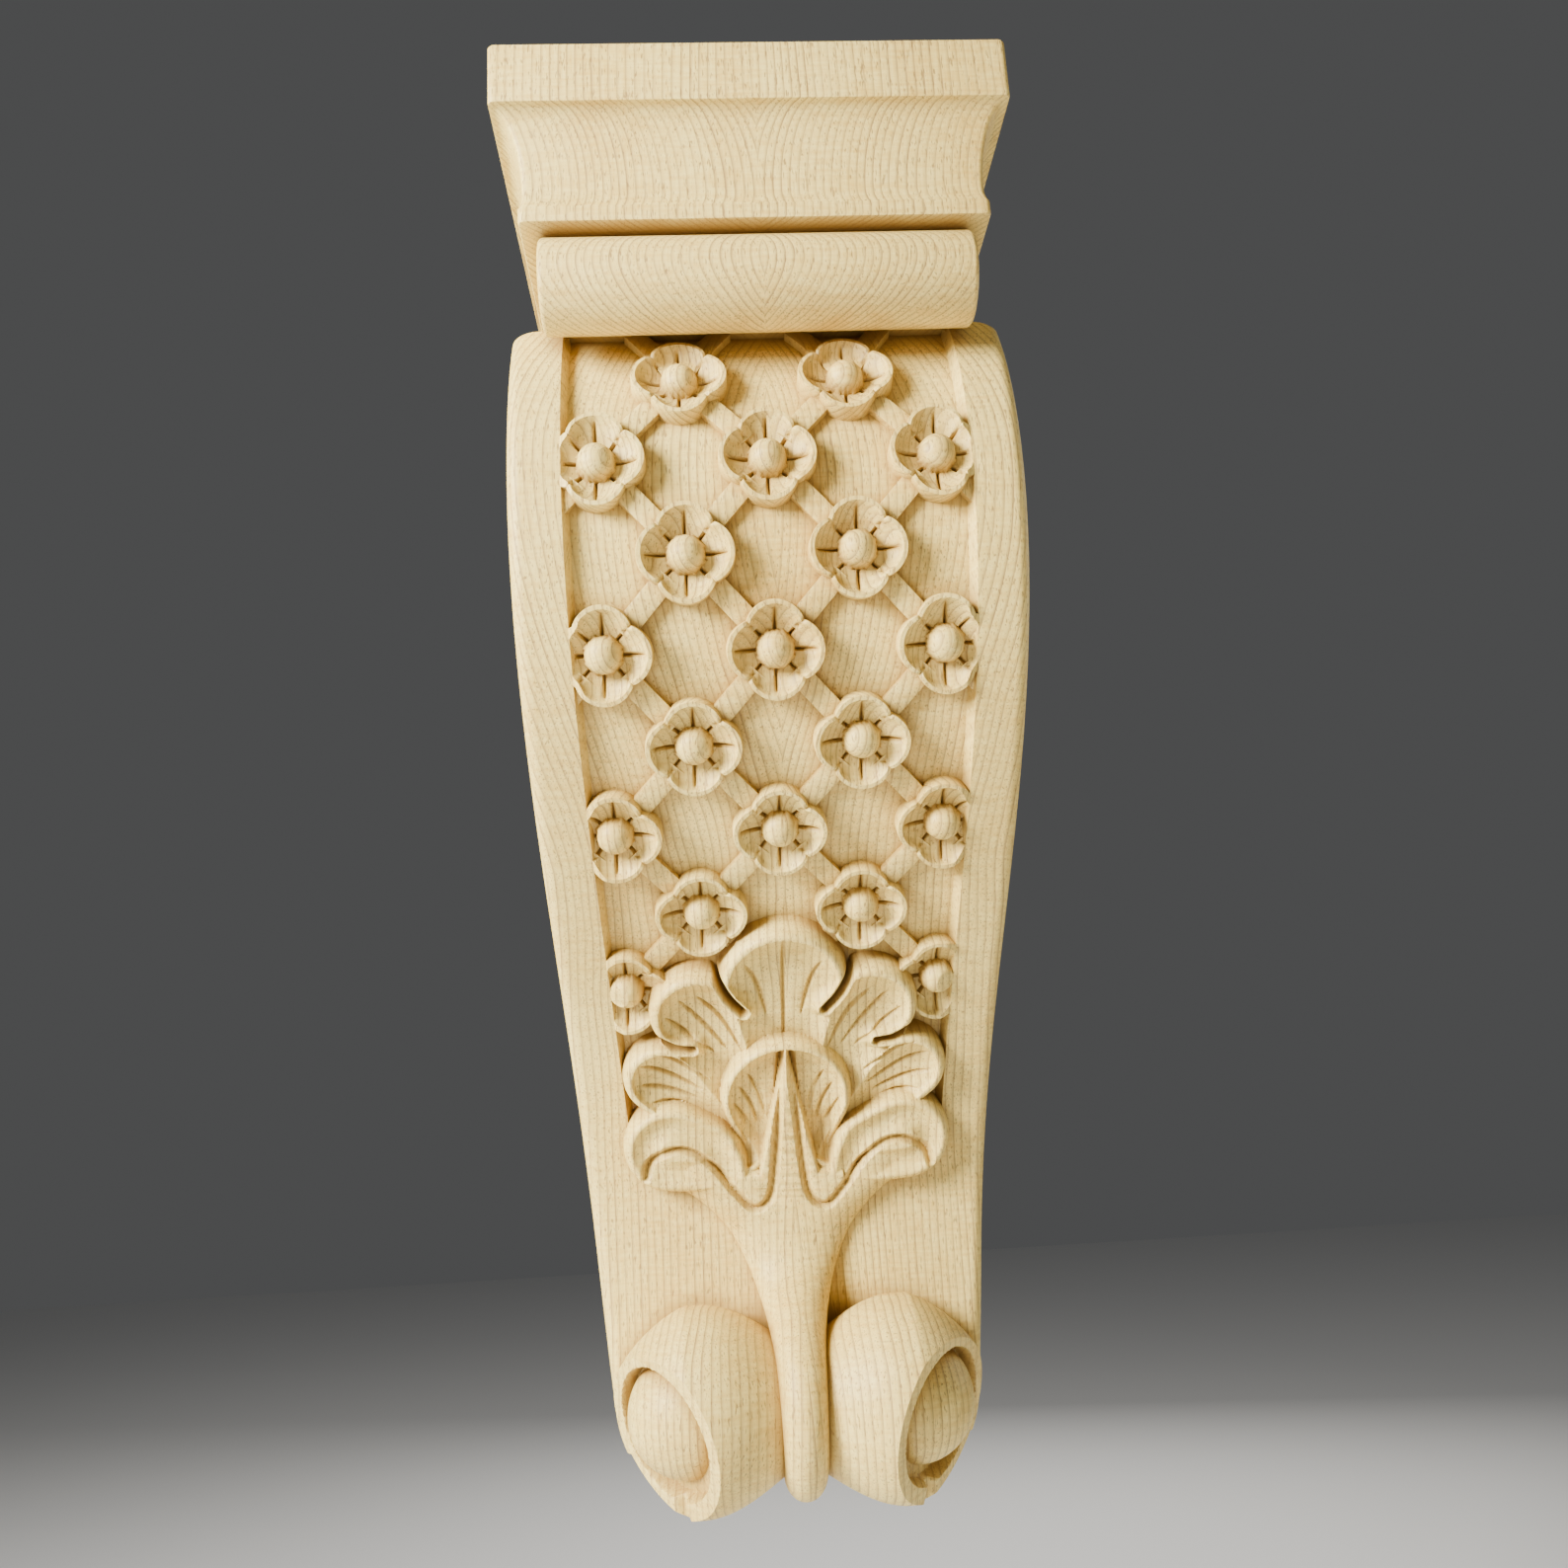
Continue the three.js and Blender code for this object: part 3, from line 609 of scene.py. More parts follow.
@dataclass
class Palmette:
    """The leaf, its two inner leaves and the calyx that gathers them into the stem."""

    spacing: float = 0.36
    half_width: float = 46.5
    top: float = 110.0
    bottom: float = 214.0
    under: float = 5.0
    edge_spare: float = 0.2
    wall_power: float = 2.6
    crest: float = 2.8
    hollow: float = 3.9
    hollow_run: float = 7.0
    step_share: float = 0.30
    step_run: float = 0.10
    back_lobes: tuple = (Lobe((0.0, 132.4), 17.2, (0.0, 176.0), 9.0),
                         Lobe((22.6, 140.2), 13.0, (7.0, 180.0), 8.0),
                         Lobe((32.2, 159.6), 11.2, (12.0, 182.0), 8.0))
    low_lobes: tuple = (Lobe((31.0, 180.2), 13.2, (23.5, 182.4), 11.6),
                        Lobe((23.5, 182.4), 11.6, (18.2, 185.8), 7.8),
                        Lobe((18.2, 185.8), 7.8, (13.4, 190.6), 3.8))
    inner: Lobe = Lobe((0.0, 165.9), 17.7, (0.0, 190.0), 9.5)
    back_rise: float = 8.4
    low_rise: float = 9.6
    low_hollow: float = 1.3
    low_run: float = 7.5
    inner_rise: float = 10.0
    inner_fall: float = 5.0
    inner_falls: tuple = (168.0, 184.0)
    inner_crest: float = 2.3
    inner_hollow: float = 3.2
    inner_run: float = 4.0
    slits: tuple = (((17.8, 127.6), (14.6, 134.6), (10.6, 139.6)),
                    ((33.4, 146.6), (28.8, 149.4), (24.4, 150.2)))
    slit_half_width: float = 0.5
    slit_steepness: float = 2.0
    veins: tuple = (((0.0, 118.0), (0.0, 134.0), (0.0, 152.0)),
                    ((10.2, 126.0), (7.0, 132.6), (4.4, 143.0)),
                    ((22.8, 135.6), (16.4, 142.4), (11.2, 152.6)),
                    ((27.6, 136.4), (21.2, 143.8), (15.0, 152.4)),
                    ((31.2, 140.8), (25.0, 147.0), (18.6, 153.0)),
                    ((34.2, 151.0), (28.0, 154.6), (20.6, 160.4)),
                    ((38.6, 155.0), (30.6, 158.8), (21.8, 164.0)),
                    ((38.8, 161.2), (31.4, 163.2), (23.6, 166.6)),
                    ((35.6, 166.6), (30.4, 167.0), (25.2, 168.8)))
    inner_veins: tuple = (((10.2, 158.8), (7.2, 164.6), (5.6, 171.6)),
                          ((12.6, 162.6), (9.4, 168.4), (7.4, 175.6)),
                          ((14.4, 166.8), (11.4, 172.8), (9.2, 180.0)))
    groove: tuple = ((38.2, 188.0), (36.8, 183.4), (31.0, 180.0), (25.2, 181.0), (19.6, 186.2),
                     (14.4, 193.6), (9.6, 198.6), (5.4, 195.4), (3.8, 186.0), (2.6, 172.0), (1.0, 153.0))
    groove_turn: float = 14.4
    groove_width: float = 1.5
    groove_depth: float = 2.0
    vein_width: float = 0.85
    vein_depth: float = 1.2
    vein_end: float = 0.02
    spike_top: float = 150.0
    spike_end: float = 188.5
    spike_merged: float = 196.0
    spike_half_width: float = 8.6
    spike_tip: float = 0.8
    spike_crest: float = 1.6
    spike_power: float = 1.15
    spike_rise: float = 11.2
    calyx_from: float = 183.0
    calyx_ramp: float = 7.0
    calyx_floor: float = 3.0
    calyx_under: float = 0.3
    calyx_rounds: float = 190.0
    calyx_settled: float = 206.0
    calyx_power: float = 7.0
    rod_power: float = 2.0
    arch_ramp: float = 0.3
    inset_after: float = 3.0
    inset_share: float = 0.05
    slit_end: float = 187.5

    def wall(self, inside: np.ndarray, rise: np.ndarray | float, run: float) -> np.ndarray:
        """Raises a rounded wall from the outline to a crest that lies a run inside it."""
        short = np.clip(1.0 - (inside + self.edge_spare) / run, 0.0, 1.0)
        return -SINK + (rise + SINK) * np.sqrt(1.0 - short ** self.wall_power)

    def sunk_face(self, inside: np.ndarray, depth: float, run: float) -> np.ndarray:
        """Sinks the hollow face behind a crest: one sharp step and then a soft bowl."""
        past = np.clip(inside / run, 0.0, 1.0)
        return depth * (self.step_share * smoothstep(0.0, self.step_run, past)
                        + (1.0 - self.step_share) * np.sin(past * math.pi / 2))

    def cut(self, height: np.ndarray, x: np.ndarray, s: np.ndarray, lines: tuple) -> np.ndarray:
        """Cuts the veins as V grooves that fade out at both ends.

        Args:
            height: The heights to cut.
            x: Places across, all on the right.
            s: Places down.
            lines: The points that each vein passes through.

        Returns:
            The cut heights.
        """
        cut = np.zeros_like(height)
        for line in lines:
            path = rounded_path(line)
            for index, (start, end) in enumerate(zip(path, path[1:])):
                distance, share = segment_distance(x, s, start, end)
                way = np.clip((index + share) / (len(path) - 1), self.vein_end, 1.0 - self.vein_end)
                fade = np.sqrt(np.sin(way * math.pi))
                cut = np.maximum(cut, fade * np.clip(1.0 - distance / (self.vein_width * fade), 0.0, 1.0))
        return height - self.vein_depth * cut

    def heights(self, across: np.ndarray, s: np.ndarray) -> np.ndarray:
        """Works out the whole relief.

        Args:
            across: Places across.
            s: Places down.

        Returns:
            Heights above the sunk field.
        """
        x = np.abs(across)
        outline = np.maximum.reduce([lobe.inside(x, s) for lobe in self.back_lobes])
        slit = np.minimum.reduce([path_distance(x, s, rounded_path(line)) for line in self.slits])
        back = np.minimum(outline, self.slit_steepness * (slit - self.slit_half_width))
        height = self.wall(back, self.back_rise, self.crest)
        height -= self.sunk_face(back - self.crest, self.hollow, self.hollow_run)
        height = self.cut(height, x, s, self.veins)
        height = np.where(outline < -self.edge_spare, -SINK, height)
        height = np.maximum(height, self.inner_leaves(x, s))
        height = np.maximum(height, self.front_leaf(x, s))
        distance = path_distance(x, s, rounded_path(self.groove))
        return height - self.groove_depth * np.clip(1.0 - distance / self.groove_width, 0.0, 1.0)

    def inner_leaves(self, x: np.ndarray, s: np.ndarray) -> np.ndarray:
        """Works out the two inner leaves under their arch.

        Args:
            x: Places across, all on the right.
            s: Places down.

        Returns:
            Heights above the sunk field.
        """
        inside = self.inner.inside(x, s)
        rise = self.inner_rise - self.inner_fall * smoothstep(*self.inner_falls, s)
        inner = self.wall(inside, rise, self.inner_crest)
        inner -= self.sunk_face(inside - self.inner_crest, self.inner_hollow, self.inner_run)
        inner = self.cut(inner, x, s, self.inner_veins)
        return np.where(inside < -self.edge_spare, -SINK, inner)

    def front_leaf(self, x: np.ndarray, s: np.ndarray) -> np.ndarray:
        """Works out the two lower lobes, the spike between the inner leaves, and the calyx they run into.

        Args:
            x: Places across, all on the right.
            s: Places down.

        Returns:
            Heights above the sunk field.
        """
        stem = Stem()
        low = np.maximum.reduce([lobe.inside(x, s) for lobe in self.low_lobes])
        lift = SIZES.rail_rise + stem.lift_at(s - stem.flare_top)
        level = self.low_rise + (lift - self.low_rise) * smoothstep(self.slit_end, self.calyx_settled, s)
        trough = np.sin(np.clip((low - self.crest) / self.low_run, 0.0, 1.0) * math.pi)
        lobes = self.wall(low, level, self.crest) - self.low_hollow * trough
        return np.maximum.reduce([lobes, self.spike(x, s, level), self.calyx(x, s, level, stem)])

    def spike(self, x: np.ndarray, s: np.ndarray, level: np.ndarray) -> np.ndarray:
        """Works out the pointed spike between the inner leaves.

        Args:
            x: Places across, all on the right.
            s: Places down.
            level: Heights of the lower lobes' crests.

        Returns:
            Heights above the sunk field.
        """
        down = np.clip((s - self.spike_top) / (self.spike_end - self.spike_top), 0.0, 1.0)
        reach = self.spike_tip + (self.spike_half_width - self.spike_tip) * down ** self.spike_power
        tall = level + (self.spike_rise - self.low_rise) * smoothstep(self.slit_end, self.spike_top, s)
        within = (s > self.spike_top) & (s < self.spike_merged) & (x < reach)
        return np.where(within, self.wall(reach - x, tall, self.spike_crest), -SINK)

    def calyx(self, x: np.ndarray, s: np.ndarray, level: np.ndarray, stem: "Stem") -> np.ndarray:
        """Works out the flare that gathers the leaf from the groove down and rounds into the stem.

        Args:
            x: Places across, all on the right.
            s: Places down.
            level: Heights of the flare along its middle.
            stem: The stem, whose width the flare takes.

        Returns:
            Heights above the sunk field.
        """
        sinking = 1.0 - self.inset_share * smoothstep(stem.start + self.inset_after, self.bottom, s)
        share = np.clip(x / (stem.width_at(s - stem.flare_top) * sinking), 0.0, 1.0)
        rounder = (self.calyx_power - self.rod_power) * smoothstep(self.calyx_rounds, self.calyx_settled, s)
        base = SIZES.rail_rise - self.calyx_under
        calyx = base + (level - base) * sinking * np.sqrt(1.0 - share ** (self.calyx_power - rounder))
        arched = x > self.groove_turn
        arch = np.array([point for point in rounded_path(self.groove) if point[0] > self.groove_turn])[::-1]
        starts = np.where(arched, np.interp(x, arch[:, 0], arch[:, 1]), self.calyx_from)
        into = smoothstep(0.0, 1.0, (s - starts) / np.where(arched, self.arch_ramp, self.calyx_ramp))
        calyx = self.calyx_floor + (calyx - self.calyx_floor) * into
        return np.where((s > starts) & (share < 1.0), calyx, -SINK)

    def build(self) -> bpy.types.Object:
        """Makes the leaf as a closed slab that follows the front.

        Returns:
            The leaf.
        """
        across = np.arange(-self.half_width, self.half_width + self.spacing, self.spacing)
        down = np.arange(self.top, self.bottom + self.spacing, self.spacing)
        x, s = np.meshgrid(across, down)
        return MeshKit.slab("palmette", FRONT.place(x, s, self.heights(x, s)),
                            FRONT.place(x, s, np.full_like(x, -self.under)))


@dataclass
class Stem:
    """The half-round rod that leaves the leaf, runs out to the volutes and round them to a blunt tip."""

    half_width: float = 5.3
    rise: float = 6.3
    leave: float = 6.0
    leave_handle: float = 14.5
    land: float = 40.0
    land_handle: float = 14.0
    end: float = 104.0
    tip: float = 4.0
    tip_blunt: float = 0.05
    flare_top: float = 191.0
    start: float = 200.6
    grown: float = 212.0
    start_size: float = 0.96
    growth: float = 0.04
    flare_half_width: float = 32.0
    flare_length: float = 17.0
    flare_rise: float = 5.2
    front_steps: int = 24
    lead_steps: int = 40
    over_steps: int = 60
    sides: int = 32

    def narrowed(self, flared: float, plain: float, run: np.ndarray) -> np.ndarray:
        """Goes over from a flared to a plain measure, by the distance below the top of the flare."""
        return plain + (flared - plain) * np.exp(-np.maximum(run, 0.0) / self.flare_length)

    def width_at(self, run: np.ndarray) -> np.ndarray:
        """Gives the rod's half width, by the distance below the top of the flare."""
        return self.narrowed(self.flare_half_width, self.half_width, run)

    def lift_at(self, run: np.ndarray) -> np.ndarray:
        """Gives how far the rod stands out of its foot line, by the distance below the top of the flare."""
        return self.narrowed(self.flare_rise, self.rise, run)

    def path(self) -> tuple[np.ndarray, np.ndarray, np.ndarray]:
        """Follows the rod's foot line.

        Returns:
            Places, outward directions and the wood behind, each as (out, up) pairs.
        """
        sizes = SIZES
        centre = np.array(sizes.drum_centre)
        down = np.linspace(self.start, FRONT.waist_down - self.leave, self.front_steps)
        first, outer, behind = (FRONT.place(0.0, down, rise)[:, 1:] * [-1.0, 1.0]
                                for rise in (sizes.rail_rise, sizes.rail_rise + 1.0, -SINK))
        land = math.radians(self.land)
        start = first[-1]
        landing = centre + sizes.drum_neck * np.array([math.cos(land), math.sin(land)])
        knots = (start, start - [0.0, self.leave_handle],
                 landing + self.land_handle * np.array([-math.sin(land), math.cos(land)]), landing)
        t = np.linspace(0.0, 1.0, self.lead_steps)[1:-1, None]
        lead = bezier(knots, t)
        run = (3 * (1 - t) ** 2 * (knots[1] - knots[0]) + 6 * (1 - t) * t * (knots[2] - knots[1])
               + 3 * t ** 2 * (knots[3] - knots[2]))
        run /= np.linalg.norm(run, axis=1)[:, None]
        turns = np.linspace(land, -math.radians(self.end), self.over_steps)
        spokes = np.c_[np.cos(turns), np.sin(turns)]
        places = np.vstack([first, lead, centre + sizes.drum_neck * spokes])
        normals = np.vstack([outer - first, np.c_[-run[:, 1], run[:, 0]], spokes])
        back = np.vstack([behind, np.c_[np.full(len(lead), sizes.waist_out - SINK), lead[:, 1]],
                          centre + SINK * spokes])
        return places, normals, back

    def build(self) -> bpy.types.Object:
        """Makes the rod.

        Returns:
            The rod, let into the wood behind it.
        """
        places, normals, back = self.path()
        run = np.r_[0.0, np.cumsum(np.hypot(*np.diff(places, axis=0).T))] + self.start - self.flare_top
        size = np.sqrt(np.clip((run[-1] - run + self.tip_blunt) / self.tip, 0.0, 1.0))
        size *= self.start_size + self.growth * smoothstep(self.start, self.grown, run + self.flare_top)
        width = self.width_at(run) * size
        lift = self.lift_at(run) * size
        angles = np.linspace(0.0, math.pi, self.sides)
        rings = []
        for place, normal, behind, half, high in zip(places, normals, back, width, lift):
            ring = [(half * math.cos(a), -(place[0] + normal[0] * high * math.sin(a)),
                     place[1] + normal[1] * high * math.sin(a)) for a in angles]
            ring += [(-half, -behind[0], behind[1]), (half, -behind[0], behind[1])]
            rings.append(ring)
        return MeshKit.tube("stem", np.array(rings))


@dataclass
class Volute:
    """One volute: a drum that swells from the stem and rounds in again, cut aslant round a domed eye."""

    side: float = 1.0
    columns: int = 110
    turns: int = 150
    inner_end: float = -1.0
    face_across: float = 42.5
    face_turn: float = 37.0
    face_drop: float = 17.7
    disc_centre: tuple = (-10.6, -4.2)
    disc_radius: float = 20.4
    rim: float = 3.4
    recess: float = 4.0
    rim_ease: tuple = (0.4, 0.5)
    eye_centre: tuple = (-9.0, -3.4)
    eye_radius: float = 14.4
    eye_rise: float = 6.2
    dome_power: float = 0.72
    mouth_turn: float = -84.0
    mouth_half: float = 9.0
    mouth_ease: float = 7.0
    mouth_share: float = 0.6
    least_radius: float = 0.02
    cutter_half: float = 36.0
    cutter_rise: float = 40.0
    cutter_spacing: float = 0.45

    def radius(self, across: np.ndarray) -> np.ndarray:
        """Gives the drum's radius.

        Args:
            across: Distances from the middle of the carving.

        Returns:
            Radii.
        """
        sizes = SIZES
        swell_run = sizes.drum_swell_to - sizes.drum_swell_from
        round_run = sizes.drum_end - sizes.drum_round_from
        swell = np.clip((across - sizes.drum_swell_from) / swell_run, 0.0, 1.0)
        past = np.clip((across - sizes.drum_round_from) / round_run, 0.0, 1.0)
        full = sizes.drum_neck + (sizes.drum_radius - sizes.drum_neck) * np.sin(swell * math.pi / 2)
        return full * np.sqrt(1.0 - past ** sizes.drum_round_power)

    def face_axes(self) -> tuple[np.ndarray, np.ndarray, np.ndarray]:
        """Sets the slanting end face, for a volute on the right.

        Returns:
            Its outward, sideways and upward directions as (across, out, up).
        """
        turn = math.radians(self.face_turn)
        normal = np.array([math.cos(turn), math.sin(turn), -math.tan(math.radians(self.face_drop))])
        normal /= np.linalg.norm(normal)
        sideways = np.array([math.sin(turn), -math.cos(turn), 0.0])
        upward = np.cross(sideways, normal)
        return normal, sideways, upward if upward[2] > 0 else -upward

    def relief(self, a: np.ndarray, b: np.ndarray) -> np.ndarray:
        """Works out the relief of the end face: a flat rim, a hollow and a dome.

        Args:
            a: Places sideways on the face.
            b: Places up the face.

        Returns:
            Heights above the face.
        """
        eye_a, eye_b = self.eye_centre
        disc_a, disc_b = self.disc_centre
        reach = np.hypot((a - eye_a) / self.eye_radius, (b - eye_b) / self.eye_radius)
        full = self.eye_rise + self.recess
        dome = full * np.clip(1.0 - reach ** 2, 0.0, 1.0) ** self.dome_power - self.recess
        edge = self.disc_radius - np.hypot(a - disc_a, b - disc_b)
        floor = -self.recess * smoothstep(self.rim - self.rim_ease[0], self.rim + self.rim_ease[1], edge)
        bearing = np.abs(np.degrees(np.arctan2(b - disc_b, a - disc_a)) - self.mouth_turn)
        mouth = smoothstep(self.mouth_half, self.mouth_half - self.mouth_ease, bearing)
        floor = np.minimum(floor, -self.mouth_share * self.recess * mouth)
        return np.where(reach < 1.0, np.maximum(dome, -self.recess), floor)

    def from_axis(self, across: np.ndarray, out: np.ndarray, up: np.ndarray) -> np.ndarray:
        """Puts places measured from the drums' axis on this volute's side of the carving."""
        return np.stack([self.side * across, -(SIZES.drum_out + out), SIZES.drum_radius + up], axis=-1)

    def build(self) -> bpy.types.Object:
        """Makes the volute and carves its end face.

        Returns:
            The volute as a closed mesh.
        """
        volute = MeshKit.tube(f"volute_{self.side:+.0f}", self.drum())
        MeshKit.join(volute, self.end_cutter(), Join.DIFFERENCE)
        return volute

    def drum(self) -> np.ndarray:
        """Makes the drum before its end is cut.

        Returns:
            Rings of points round the axis.
        """
        share = np.linspace(0.0, 1.0, self.columns)
        across = self.inner_end + (SIZES.drum_end - self.inner_end) * np.sin(share * math.pi / 2)
        turns = np.linspace(0.0, 2 * math.pi, self.turns, endpoint=False)
        x, turn = np.meshgrid(across, turns, indexing="ij")
        reach = np.maximum(self.radius(x), self.least_radius)
        return self.from_axis(x, reach * np.cos(turn), reach * np.sin(turn))

    def end_cutter(self) -> bpy.types.Object:
        """Makes the wood that is carved away in front of the end face.

        Returns:
            A slab whose lower side is the face's relief.
        """
        normal, sideways, upward = self.face_axes()
        places = np.arange(-self.cutter_half, self.cutter_half + self.cutter_spacing, self.cutter_spacing)
        a, b = np.meshgrid(places + self.disc_centre[0], places[::-1] + self.disc_centre[1])
        level = np.array([self.face_across, 0.0, 0.0]) + a[..., None] * sideways + b[..., None] * upward
        sides = []
        for height in (np.full_like(a, self.cutter_rise), self.relief(a, b)):
            spot = level + height[..., None] * normal
            sides.append(self.from_axis(spot[..., 0], spot[..., 1], spot[..., 2]))
        return MeshKit.slab("end_cutter", *sides)


class Value:
    """A number carried by a node socket, with Python's arithmetic."""

    def __init__(self, graph: "Graph", socket: bpy.types.NodeSocket) -> None:
        """Wraps an output socket of a graph."""
        self.graph = graph
        self.socket = socket

    def maths(self, operation: str, *others: "Value | float") -> "Value":
        """Adds a Math node that works on this value and the others."""
        node = self.graph.node("ShaderNodeMath", [self, *others], operation=operation)
        return Value(self.graph, node.outputs[0])

    def __add__(self, other: "Value | float") -> "Value":
        """Adds another value."""
        return self.maths("ADD", other)

    __radd__ = __add__

    def __sub__(self, other: "Value | float") -> "Value":
        """Takes another value away."""
        return self.maths("SUBTRACT", other)

    def __rsub__(self, other: float) -> "Value":
        """Takes this value away from a number."""
        return (-self) + other

    def __mul__(self, other: "Value | float") -> "Value":
        """Multiplies by another value."""
        return self.maths("MULTIPLY", other)

    __rmul__ = __mul__

    def __truediv__(self, other: "Value | float") -> "Value":
        """Divides by another value."""
        return self.maths("DIVIDE", other)

    def __pow__(self, other: float) -> "Value":
        """Raises to a power."""
        return self.maths("POWER", other)

    def __neg__(self) -> "Value":
        """Turns the sign round."""
        return self.maths("MULTIPLY", -1.0)

    def __abs__(self) -> "Value":
        """Leaves the sign away."""
        return self.maths("ABSOLUTE")

    def above(self, other: "Value | float") -> "Value":
        """Gives 1 where this value is greater than another, and 0 elsewhere."""
        return self.maths("GREATER_THAN", other)

    def clamp(self) -> "Value":
        """Limits the value to 0 and 1."""
        return self.maths("MAXIMUM", 0.0).maths("MINIMUM", 1.0)

    def ramp(self, low: float, high: float) -> "Value":
        """Rises evenly from 0 at low to 1 at high."""
        return ((self - low) / (high - low)).clamp()


class Graph:
    """A node tree and short ways to add to it."""

    def __init__(self, tree: bpy.types.NodeTree) -> None:
        """Wraps a node tree."""
        self.tree = tree

    def node(self, kind: str, inputs: dict | list | None = None, **settings) -> bpy.types.Node:
        """Adds any node.

        Args:
            kind: The node's type.
            inputs: Values or sockets by input name, or in order.
            settings: The node's own settings.

        Returns:
            The node.
        """
        node = self.tree.nodes.new(kind)
        for name, setting in settings.items():
            setattr(node, name, setting)
        if isinstance(inputs, list):
            inputs = dict(enumerate(inputs))
        for name, given in (inputs or {}).items():
            target = node.inputs[name]
            if isinstance(given, Value):
                self.tree.links.new(given.socket, target)
            elif isinstance(given, bpy.types.NodeSocket):
                self.tree.links.new(given, target)
            else:
                target.default_value = given
        return node

    def split(self, vector: bpy.types.NodeSocket) -> tuple[Value, Value, Value]:
        """Takes a vector apart into its three numbers."""
        node = self.node("ShaderNodeSeparateXYZ", [vector])
        return tuple(Value(self, out) for out in node.outputs)

    def vector(self, x: Value | float, y: Value | float, z: Value | float) -> bpy.types.NodeSocket:
        """Puts a vector together from three numbers."""
        return self.node("ShaderNodeCombineXYZ", [x, y, z]).outputs[0]

    def places(self) -> tuple[Value, Value, Value]:
        """Reads the places of a mesh's points."""
        return self.split(self.node("GeometryNodeInputPosition").outputs[0])

    def moved(self, mesh: bpy.types.NodeSocket, place: bpy.types.NodeSocket) -> bpy.types.NodeSocket:
        """Moves a mesh's points to new places."""
        return self.node("GeometryNodeSetPosition", {"Geometry": mesh, "Position": place}).outputs[0]

    def grid(self, size: Sequence[float], steps: Sequence[int]) -> bpy.types.NodeSocket:
        """Makes a flat grid of points."""
        across, up = size
        columns, rows = steps
        return self.node("GeometryNodeMeshGrid", {"Size X": across, "Size Y": up, "Vertices X": columns,
                                                  "Vertices Y": rows}).outputs["Mesh"]


